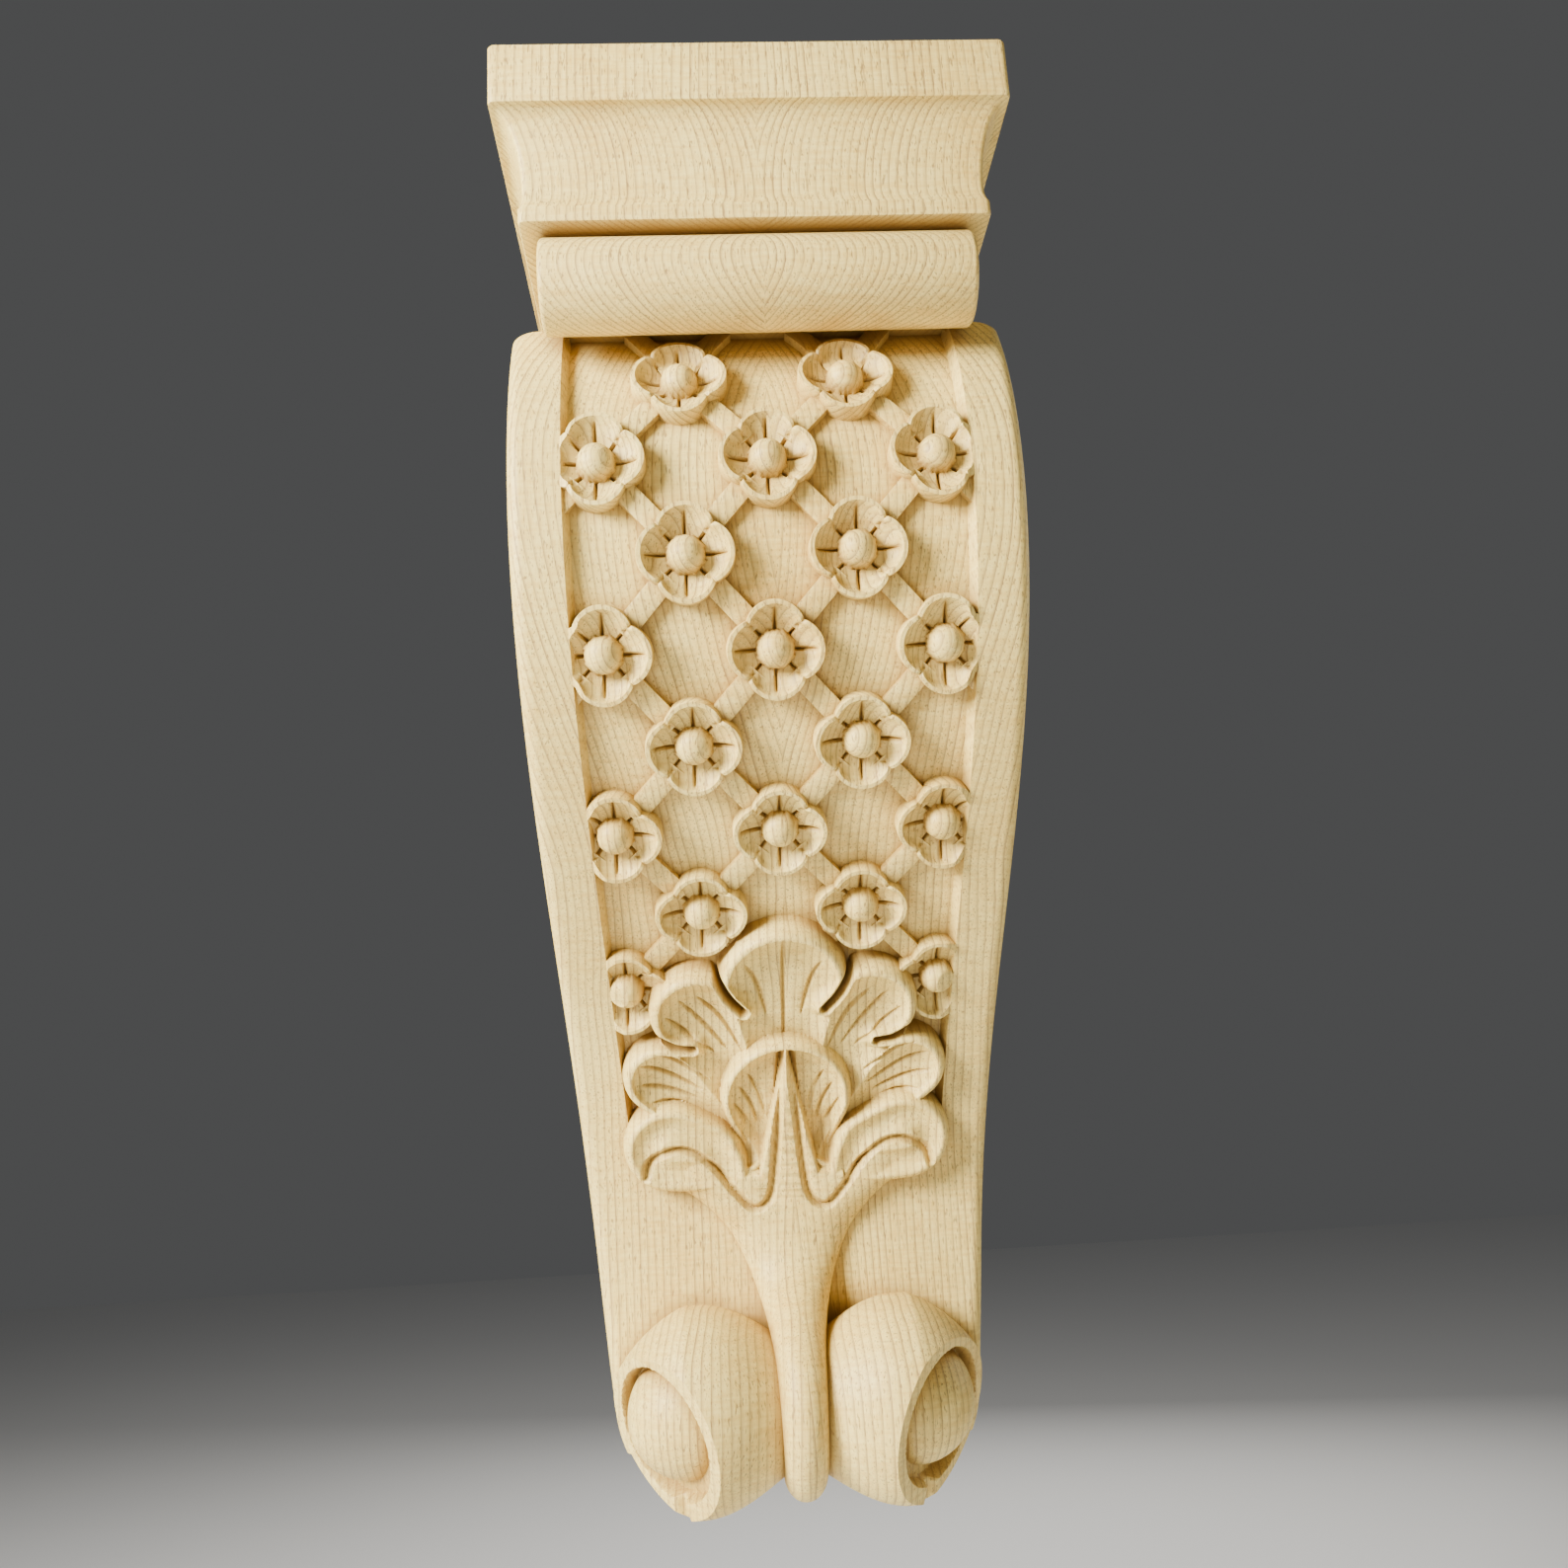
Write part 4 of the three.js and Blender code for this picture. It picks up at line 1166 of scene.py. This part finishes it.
@dataclass
class Trellis:
    """Four-petalled flowers in staggered rows, joined by flat straps, bent over the sunk field."""

    pitch: float = 40.8
    row_step: float = 22.7
    first_row: float = -24.3
    rows: int = 8
    columns: int = 5
    petal_out: float = 4.4
    petal_radius: float = 7.3
    rim_rise: float = 5.0
    rim_width: float = 1.2
    rim_step: float = 0.7
    bowl_depth: float = 3.1
    bowl_power: float = 1.7
    bowl_rim: float = 0.88
    ball_radius: float = 4.6
    ball_rise: float = 1.7
    slit_depth: float = 1.4
    slit_width: float = 0.9
    slit_ends: tuple = (0.5, 0.25)
    slit_power: float = 8.0
    cleft_loss: float = 0.5
    top_until: float = 0.84
    wall_until: float = 0.93
    top_power: float = 1.35
    skirt: float = 0.2
    weld: float = 0.01
    strap_width: float = 5.4
    strap_rise: float = 2.3
    strap_share: float = 0.56
    strap_flat: float = 0.70
    strap_ease: float = 0.25
    room_seam: float = 0.1
    plane_slope: float = 34.0
    top_strap_shift: float = 0.46
    top_strap_turn: float = 0.29
    top_strap_stretch: float = 0.4
    petal_steps: int = 112
    reach_steps: int = 26
    strap_steps: tuple = (10, 7, 3)
    line_points: int = 500
    sizes_used: tuple = ("pitch", "row_step", "first_row", "petal_out", "petal_radius", "rim_rise",
                         "rim_width", "rim_step", "bowl_depth", "ball_radius", "ball_rise", "slit_depth",
                         "slit_width", "strap_width", "strap_rise")

    def front_curve(self) -> bpy.types.Object:
        """Makes the curve that the trellis is bent over.

        Returns:
            A curve object of one open spline down the middle of the sunk field.
        """
        data = bpy.data.curves.new("front_line", "CURVE")
        data.dimensions = "3D"
        picks = np.linspace(0, len(FRONT.down) - 1, self.line_points).astype(int)
        spline = data.splines.new("POLY")
        spline.points.add(len(picks) - 1)
        for point, pick in zip(spline.points, picks):
            out, up = FRONT.places[pick]
            point.co = (0.0, -out * MM, (up - SIZES.height / 2) * MM, 1.0)
        return MeshKit.add("front_line", data)

    def flower(self, graph: Graph, size: SimpleNamespace) -> bpy.types.NodeSocket:
        """Makes one flower, flat, as a closed skin worked out round its middle.

        Args:
            graph: The geometry graph.
            size: The named sizes.

        Returns:
            The flower's mesh.
        """
        grid = graph.grid((1.0, 1.0), (self.petal_steps + 1, self.reach_steps + 1))
        u, v, _ = graph.places()
        turn = (u + 0.5) * (2 * math.pi)
        way = v + 0.5
        top = 1.0 - (1.0 - way.ramp(0.0, self.top_until)) ** self.top_power
        wall = way.ramp(self.top_until, self.wall_until)
        under = way.ramp(self.wall_until, 1.0)
        lean = (turn + math.pi / 4).maths("MODULO", math.pi / 2) - math.pi / 4
        aside = size.petal_out * lean.maths("SINE")
        edge = (size.petal_out * lean.maths("COSINE")
                + (size.petal_radius * size.petal_radius - aside * aside).maths("SQRT"))
        reach = edge * top
        height = self.flower_height(size, lean, edge, reach)
        height = height * (1.0 - wall) - wall * (SINK * MM)
        spread = (reach + wall * (self.skirt * MM)) * (1.0 - under)
        place = graph.vector(spread * turn.maths("COSINE"), spread * turn.maths("SINE"), height)
        return graph.node("GeometryNodeMergeByDistance", {"Geometry": graph.moved(grid, place),
                                                          "Distance": self.weld * MM}).outputs[0]

    def flower_height(self, size: SimpleNamespace, lean: Value, edge: Value, reach: Value) -> Value:
        """Works out a flower's top: bowls with rims, creases, clefts between the petals, and the ball.

        Args:
            size: The named sizes.
            lean: Turns away from the middle of the petal.
            edge: How far out the petal's edge lies.
            reach: How far out the place lies.

        Returns:
            Heights above the sunk field.
        """
        bowl = ((reach - size.ball_radius) / (edge - size.rim_width - size.ball_radius)).clamp()
        leaf = size.rim_rise - size.bowl_depth * (1.0 - bowl ** self.bowl_power)
        leaf = leaf - size.rim_step * (1.0 - bowl.ramp(self.bowl_rim, 1.0))
        narrow, spread = self.slit_ends
        fine = size.slit_width * (bowl * spread + narrow)
        outer = bowl ** self.slit_power
        crease = (1.0 - abs(reach * lean.maths("SINE")) / fine).clamp()
        leaf = leaf - size.slit_depth * crease * (1.0 - outer)
        parting = abs(lean) - math.pi / 4
        cleft = (1.0 - abs(reach * parting.maths("SINE")) / fine).clamp()
        leaf = leaf - size.slit_depth * cleft * (1.0 - self.cleft_loss * outer)
        ball = (size.ball_radius * size.ball_radius - reach * reach).maths("MAXIMUM", 0.0).maths("SQRT")
        on_ball = (size.ball_radius - reach).above(0.0)
        return leaf + ((ball + size.ball_rise).maths("MAXIMUM", leaf) - leaf) * on_ball

    def strap(self, graph: Graph, size: SimpleNamespace) -> bpy.types.NodeSocket:
        """Makes one flat strap, about its own middle, with eased edges.

        Args:
            graph: The geometry graph.
            size: The named sizes.

        Returns:
            The strap's mesh.
        """
        half = size.pitch * 0.5
        length = (half * half + size.row_step * size.row_step).maths("SQRT") * self.strap_share
        steps = dict(zip(("Vertices X", "Vertices Y", "Vertices Z"), self.strap_steps))
        whole = graph.vector(length, size.strap_width, size.strap_rise + SINK * MM)
        box = graph.node("GeometryNodeMeshCube", {"Size": whole, **steps})
        x, y, z = graph.places()
        edge = (abs(y) / (size.strap_width * 0.5)).ramp(self.strap_flat, 1.0)
        eased = z + (size.strap_rise - SINK * MM) * 0.5 - edge * z.above(0.0) * (self.strap_ease * MM)
        return graph.moved(box.outputs["Mesh"], graph.vector(x, y, eased))

    def tree(self, layer: Layer, curve: bpy.types.Object) -> bpy.types.NodeTree:
        """Builds the geometry graph of one layer.

        Args:
            layer: What it makes.
            curve: The curve that it follows.

        Returns:
            The node tree.
        """
        tree = bpy.data.node_groups.new(f"trellis_{layer.value}", "GeometryNodeTree")
        graph = Graph(tree)
        tree.interface.new_socket("Geometry", in_out="OUTPUT", socket_type="NodeSocketGeometry")
        for name in self.sizes_used:
            tree.interface.new_socket(name, in_out="INPUT", socket_type="NodeSocketFloat")
        tree.interface.new_socket("wood", in_out="INPUT", socket_type="NodeSocketMaterial")
        given = tree.nodes.new("NodeGroupInput")
        size = SimpleNamespace(**{name: Value(graph, given.outputs[name]) for name in self.sizes_used})
        lean = {Layer.FLOWERS: 0.0, Layer.STRAPS_RIGHT: 1.0, Layer.STRAPS_LEFT: -1.0}[layer]
        spots, picked, bare = self.spots(graph, size, lean)
        piece = self.strap(graph, size) if lean else self.flower(graph, size)
        angle = size.row_step.maths("ARCTAN2", size.pitch * 0.5) * (-lean)
        turn = graph.vector(0.0, 0.0, angle * (bare * self.top_strap_turn + 1.0))
        stretch = graph.vector(1.0 + bare * (self.top_strap_stretch * abs(lean)), 1.0, 1.0)
        copies = graph.node("GeometryNodeInstanceOnPoints",
                            {"Points": spots, "Instance": piece, "Selection": picked.above(0.5),
                             "Rotation": turn, "Scale": stretch})
        flat = graph.node("GeometryNodeRealizeInstances", {"Geometry": copies.outputs[0]})
        bent = self.bend(graph, flat.outputs[0], curve)
        finished = graph.node("GeometryNodeSetMaterial",
                              {"Geometry": bent, "Material": given.outputs["wood"]})
        graph.node("NodeGroupOutput", {"Geometry": finished.outputs[0]})
        return tree

    def spots(self, graph: Graph, size: SimpleNamespace,
              lean: float) -> tuple[bpy.types.NodeSocket, Value, Value]:
        """Lays out where the copies of one layer go: every second place of a grid, row by row.

        Args:
            graph: The geometry graph.
            size: The named sizes.
            lean: 0 for flowers, 1 or -1 for straps that lean to the right or the left.

        Returns:
            The places, whether each is chosen, and whether it lies above the first row of flowers.
        """
        above = 1 if lean else 0
        rows = self.rows + above
        marked = graph.grid((self.columns - 1.0, rows - 1.0), (self.columns, rows))
        column, row, _ = graph.places()
        row = (rows - 1) / 2 - row - above
        chosen = (column + row + 2.0 * self.columns).maths("MODULO", 2.0).above(0.5)
        if not lean:
            under_leaf = row.above(self.rows - 1.5) * (1.0 - abs(column).above(0.5))
            chosen = chosen * (1.0 - under_leaf)
        down = size.first_row + (row + 0.5 * abs(lean)) * size.row_step
        is_bare = (-row).above(0.5)
        across = column + (is_bare * self.top_strap_shift + 1.0) * (0.5 * lean)
        for name, worth in (("chosen", chosen), ("bare", is_bare)):
            marked = graph.node("GeometryNodeStoreNamedAttribute",
                                {"Geometry": marked, "Name": name, "Value": worth},
                                data_type="FLOAT", domain="POINT").outputs[0]
        spots = graph.moved(marked, graph.vector(across * size.pitch * 0.5, -down, 0.0))
        picked, bare = (Value(graph, graph.node("GeometryNodeInputNamedAttribute", {"Name": name},
                                                data_type="FLOAT").outputs[0]) for name in ("chosen", "bare"))
        return spots, picked, bare

    @staticmethod
    def bend(graph: Graph, geometry: bpy.types.NodeSocket, curve: bpy.types.Object) -> bpy.types.NodeSocket:
        """Bends flat geometry over the front curve.

        Args:
            graph: The geometry graph.
            geometry: The flat mesh, with its height along Z.
            curve: The curve object.

        Returns:
            The bent mesh.
        """
        line = graph.node("GeometryNodeObjectInfo", {"Object": curve}, transform_space="ORIGINAL")
        across, up, rise = graph.places()
        sample = graph.node("GeometryNodeSampleCurve",
                            {"Curves": line.outputs["Geometry"], "Length": FRONT.brow_length * MM - up},
                            mode="LENGTH", use_all_curves=True)
        _, y, z = graph.split(sample.outputs["Position"])
        _, along_y, along_z = graph.split(sample.outputs["Tangent"])
        return graph.moved(geometry, graph.vector(across, y + along_z * rise, z - along_y * rise))

    def build(self, material: bpy.types.Material, block: Block) -> list[bpy.types.Object]:
        """Makes every layer and trims it between the rails.

        Args:
            material: The wood.
            block: The body, whose panel trims the trellis.

        Returns:
            The layers as closed meshes.
        """
        curve = self.front_curve()
        room = block.panel("trellis_room", 2 * SINK, self.room_seam, self.plane_slope)
        layers = []
        for layer in Layer:
            tree = self.tree(layer, curve)
            piece = MeshKit.add(layer.value, bpy.data.meshes.new(layer.value))
            modifier = piece.modifiers.new("trellis", "NODES")
            modifier.node_group = tree
            for item in tree.interface.items_tree:
                if item.name in self.sizes_used:
                    modifier[item.identifier] = getattr(self, item.name) * MM
                elif item.name == "wood":
                    modifier[item.identifier] = material
            MeshKit.bake(piece)
            MeshKit.turn_outward(piece)
            LOG.info("%s: %d faces", layer.value, len(piece.data.polygons))
            MeshKit.join(piece, room, Join.INTERSECT, keep=True)
            layers.append(piece)
        MeshKit.drop(room)
        bpy.data.objects.remove(curve)
        return layers


@dataclass(frozen=True)
class Grain:
    """How fine a noise in the wood is, across and along the grain, per millimetre, and how rich it is."""

    across: float
    along: float
    detail: float


@dataclass(frozen=True)
class WoodFinish:
    """Pale sanded beech, glued up from two boards whose growth lines meet down the middle, with painted shade
    darkening its creases and hollows.
    """

    light: tuple = (0.97, 0.755, 0.235, 1.0)
    dark: tuple = (0.78, 0.51, 0.115, 1.0)
    line: tuple = (0.40, 0.26, 0.09, 1.0)
    fleck: tuple = (0.30, 0.18, 0.06, 1.0)
    # Colour of the painted shade in creases and hollows, and how far, how finely and how strongly the
    # occlusion lays it on
    painted_shade: tuple = (0.32, 0.175, 0.04, 1.0)
    painted_shade_reach: float = 0.0065
    painted_shade_samples: int = 8
    painted_shade_ramp: tuple = (0.10, 0.80)
    painted_shade_share: float = 0.95
    roughness: float = 0.52
    specular: float = 0.32
    bump_strength: float = 0.22
    bump_distance: float = 0.00025
    glue_line: float = 0.9
    ring_spacing: float = 2.1
    board_shift: float = 3.7
    ring_lean: float = 0.01
    bow_from: float = 70.0
    bow: float = 0.0085
    sway: Grain = Grain(0.012, 0.004, 2.0)
    sway_width: float = 14.0
    waver: Grain = Grain(0.05, 0.012, 2.0)
    waver_width: float = 2.6
    late_wood: tuple = (0.45, 0.93)
    year: Grain = Grain(0.37, 0.002, 0.0)
    year_dark: tuple = (0.35, 0.9)
    broken: Grain = Grain(0.35, 0.22, 2.0)
    broken_dark: tuple = (0.45, 1.2)
    flank_ramp: tuple = (0.55, 0.95)
    flank_fade: float = 0.78
    cloud: Grain = Grain(0.03, 0.011, 3.0)
    cloud_share: float = 1.5
    fine: Grain = Grain(1.6, 0.09, 2.0)
    fine_share: float = 1.1
    ripple: Grain = Grain(0.16, 1.1, 2.0)
    ripple_share: float = 1.5
    tone: float = 0.38
    pores: Grain = Grain(2.6, 0.42, 1.0)
    pore_ramp: tuple = (0.60, 0.70)
    pore_share: float = 0.75
    fine_rise: float = 0.6
    line_sink: float = 0.5
    pore_sink: float = 0.9
    fine_gloss: float = 0.06
    pore_matt: float = 0.08

    def material(self) -> bpy.types.Material:
        """Makes the wood from Object coordinates.

        Returns:
            The material.
        """
        wood = bpy.data.materials.new("pale_beech")
        wood.use_nodes = True
        wood.node_tree.nodes.clear()
        graph = Graph(wood.node_tree)
        where = graph.node("ShaderNodeTexCoord")
        place = tuple(value * (1.0 / MM) for value in graph.split(where.outputs["Object"]))
        flank = abs(graph.split(where.outputs["Normal"])[0]).ramp(*self.flank_ramp)
        strength = self.line_strength(graph, place) * (1.0 - flank * self.flank_fade)
        cloud, fine, ripple, pores = (self.noise(graph, place, grain)
                                      for grain in (self.cloud, self.fine, self.ripple, self.pores))
        dots = pores.ramp(*self.pore_ramp)
        tone = ((cloud - 0.5) * self.cloud_share + (fine - 0.5) * self.fine_share
                + (ripple - 0.5) * self.ripple_share + self.tone)
        colour = self.mix(graph, tone.clamp(), self.light, self.dark)
        colour = self.mix(graph, strength.clamp(), colour, self.line)
        colour = self.mix(graph, dots * self.pore_share, colour, self.fleck)
        # Painted shade: local ambient occlusion marks creases, hollows and places under overhangs, where
        # shadow falls, for darkening the colour towards brown
        open_sky = Value(graph, graph.node("ShaderNodeAmbientOcclusion", {"Distance": self.painted_shade_reach},
                                           samples=self.painted_shade_samples, only_local=True).outputs["AO"])
        painted_crevice_shade = (1.0 - open_sky).ramp(*self.painted_shade_ramp) * self.painted_shade_share
        relief = fine * self.fine_rise - strength * self.line_sink - dots * self.pore_sink
        bump = graph.node("ShaderNodeBump", {"Strength": self.bump_strength, "Distance": self.bump_distance,
                                             "Height": relief})
        roughness = self.roughness - self.fine_gloss * fine + self.pore_matt * dots
        # Mixes the painted shade into the wood's colour
        colour = self.mix(graph, painted_crevice_shade, colour, self.painted_shade)
        shader = graph.node("ShaderNodeBsdfPrincipled",
                            {"Base Color": colour, "Roughness": roughness,
                             "Specular IOR Level": self.specular, "Normal": bump.outputs[0]})
        graph.node("ShaderNodeOutputMaterial", {"Surface": shader.outputs[0]})
        wood.diffuse_color = self.light
        return wood

    def rings(self, graph: Graph, place: Sequence[Value]) -> Value:
        """Counts the growth rings away from the glue line, bowed where the carving stands far out.

        Args:
            graph: The graph.
            place: The place in millimetres.

        Returns:
            The number of the ring, with the share of the way through it.
        """
        x, y, z = place
        offset = x - self.glue_line
        right = offset.above(0.0)
        ahead = (-self.bow_from - y).maths("MAXIMUM", 0.0)
        sway = self.noise(graph, place, self.sway)
        waver = self.noise(graph, place, self.waver)
        return (abs(offset) + ahead * ahead * -self.bow + right * self.board_shift + sway * self.sway_width
                + waver * self.waver_width + z * self.ring_lean) / self.ring_spacing

    def line_strength(self, graph: Graph, place: Sequence[Value]) -> Value:
        """Works out how dark the growth lines are, uneven from year to year and broken along the grain.

        Args:
            graph: The graph.
            place: The place in millimetres.

        Returns:
            The strength, about 0 to 1.
        """
        rings = self.rings(graph, place)
        saw = rings.maths("FRACT")
        start, full = self.late_wood
        late = saw.ramp(start, full) * (1.0 - saw.ramp(full, 1.0))
        year = self.noise(graph, (rings.maths("FLOOR"), 0.0, place[2]), self.year)
        broken = self.noise(graph, place, self.broken)
        return (late ** 2.0 * (self.year_dark[0] + year * self.year_dark[1])
                * (self.broken_dark[0] + broken * self.broken_dark[1]))

    @staticmethod
    def noise(graph: Graph, place: Sequence[Value | float], grain: Grain) -> Value:
        """Adds a noise texture that is drawn out along the grain.

        Args:
            graph: The graph.
            place: The place in millimetres.
            grain: How fine it is.

        Returns:
            The noise, about 0 to 1.
        """
        x, y, z = place
        spot = graph.vector(x * grain.across, y * grain.across, z * grain.along)
        node = graph.node("ShaderNodeTexNoise", {"Vector": spot, "Scale": 1.0, "Detail": grain.detail})
        return Value(graph, node.outputs[0])

    @staticmethod
    def mix(graph: Graph, share: Value, first: tuple | bpy.types.NodeSocket,
            second: tuple | bpy.types.NodeSocket) -> bpy.types.NodeSocket:
        """Mixes two colours, with a share of the second."""
        return graph.node("ShaderNodeMix", {0: share, 6: first, 7: second}, data_type="RGBA").outputs[2]


@dataclass
class Carving:
    """The whole corbel as one closed mesh."""

    most_triangles: int = 190000
    sharp_from: float = 38.0

    def build(self, material: bpy.types.Material) -> bpy.types.Object:
        """Makes and joins all the parts of the block.

        Args:
            material: The wood.

        Returns:
            The finished piece.
        """
        block = Block()
        piece = block.build()
        piece.name = "carved_corbel"
        parts = [*Mouldings().build(), *Trellis().build(material, block),
                 Volute(side=1.0).build(), Volute(side=-1.0).build(), Palmette().build(), Stem().build()]
        for part in parts:
            MeshKit.join(piece, part, Join.UNION)
        self.lighten(piece)
        piece.data.materials.clear()
        piece.data.materials.append(material)
        piece.data.polygons.foreach_set("material_index", [0] * len(piece.data.polygons))
        piece.data.shade_smooth()
        piece.data.set_sharp_from_angle(angle=math.radians(self.sharp_from))
        return piece

    def lighten(self, piece: bpy.types.Object) -> None:
        """Brings the joined mesh down to its triangle limit.

        Args:
            piece: The joined mesh.
        """
        piece.modifiers.new("triangles", "TRIANGULATE")
        MeshKit.bake(piece)
        count = len(piece.data.polygons)
        LOG.info("joined: %d triangles", count)
        if count > self.most_triangles:
            modifier = piece.modifiers.new("fewer", "DECIMATE")
            modifier.ratio = self.most_triangles / count
            MeshKit.bake(piece)
        LOG.info("kept: %d triangles", len(piece.data.polygons))


@dataclass(frozen=True)
class Lamp:
    """A soft square light that looks at the carving: place and side in metres, power in watts."""

    name: str
    place: tuple
    side: float
    power: float
    colour: tuple

    def build(self) -> None:
        """Hangs the light."""
        data = bpy.data.lights.new(self.name, "AREA")
        data.size = self.side
        data.energy = self.power
        data.color = self.colour
        lamp = MeshKit.add(self.name, data)
        lamp.location = self.place
        lamp.rotation_euler = (-Vector(self.place)).to_track_quat("-Z", "Y").to_euler()


@dataclass
class Studio:
    """Plain pale floor, soft light from the upper left, and the photograph's viewpoint."""

    focal: float = 1390.0
    sensor: float = 36.0
    near: float = 0.01
    camera_at: tuple = (-18.1, -415.6, 93.8)
    yaw: float = 3.39
    pitch: float = 14.09
    roll: float = 3.23
    floor_gap: float = 0.30
    floor_half: float = 4.0
    floor_colour: tuple = (0.82, 0.82, 0.81, 1.0)
    floor_roughness: float = 0.8
    sky_colour: tuple = (0.86, 0.87, 0.88, 1.0)
    sky_strength: float = 0.09
    lamps: tuple = (Lamp("key", (-0.82, -0.66, 0.32), 0.42, 46.0, (1.0, 0.98, 0.95)),
                    Lamp("fill", (0.6, -1.2, 0.2), 1.0, 1.4, (1.0, 0.80, 0.50)),
                    Lamp("rear", (0.3, 1.3, 0.5), 0.9, 10.0, (1.0, 0.97, 0.92)),
                    Lamp("flank", (1.2, 0.35, 0.3), 0.7, 4.0, (1.0, 0.94, 0.84)))

    def camera(self) -> None:
        """Sets the camera where the photograph was taken from."""
        data = bpy.data.cameras.new("viewpoint")
        data.sensor_fit = "HORIZONTAL"
        data.sensor_width = self.sensor
        data.lens = self.focal / PHOTO_SIDE * data.sensor_width
        data.clip_start = self.near
        camera = MeshKit.add("viewpoint", data)
        yaw, pitch, roll = (math.radians(value) for value in (self.yaw, self.pitch, self.roll))
        ahead = Vector((math.sin(yaw) * math.cos(pitch), math.cos(yaw) * math.cos(pitch), math.sin(pitch)))
        right = Vector((math.cos(yaw), -math.sin(yaw), 0.0))
        up = right.cross(ahead)
        turned_right = right * math.cos(roll) - up * math.sin(roll)
        turned_up = right * math.sin(roll) + up * math.cos(roll)
        place = Vector(self.camera_at) - Vector((0.0, 0.0, SIZES.height / 2))
        matrix = Matrix((turned_right, turned_up, -ahead)).transposed().to_4x4()
        matrix.translation = place * MM
        camera.matrix_world = matrix
        bpy.context.scene.camera = camera

    def sky(self) -> None:
        """Gives the room its even light."""
        world = bpy.data.worlds.new("studio")
        world.use_nodes = True
        background = world.node_tree.nodes["Background"]
        background.inputs["Color"].default_value = self.sky_colour
        background.inputs["Strength"].default_value = self.sky_strength
        bpy.context.scene.world = world

    def floor(self) -> None:
        """Lays the floor below the carving."""
        half = self.floor_half
        level = -(SIZES.height / 2) * MM - self.floor_gap
        mesh = bpy.data.meshes.new("floor")
        mesh.from_pydata([(-half, -half, level), (half, -half, level), (half, half, level),
                          (-half, half, level)], [], [(0, 1, 2, 3)])
        pale = bpy.data.materials.new("pale_floor")
        pale.use_nodes = True
        shader = pale.node_tree.nodes["Principled BSDF"]
        shader.inputs["Base Color"].default_value = self.floor_colour
        shader.inputs["Roughness"].default_value = self.floor_roughness
        mesh.materials.append(pale)
        MeshKit.add("floor", mesh)

    def build(self) -> None:
        """Makes the camera, the light and the floor."""
        self.camera()
        for lamp in self.lamps:
            lamp.build()
        self.sky()
        self.floor()
        LOG.info("studio: %d lamps", len(self.lamps))


def main() -> None:
    """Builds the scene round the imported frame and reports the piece."""
    logging.basicConfig(level=logging.INFO, format="%(message)s")
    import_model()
    Studio().build()
    wood = WoodFinish().material()
    piece = Carving().build(wood)
    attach(piece, BODY)
    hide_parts(NODE)


if __name__ == "__main__":
    main()
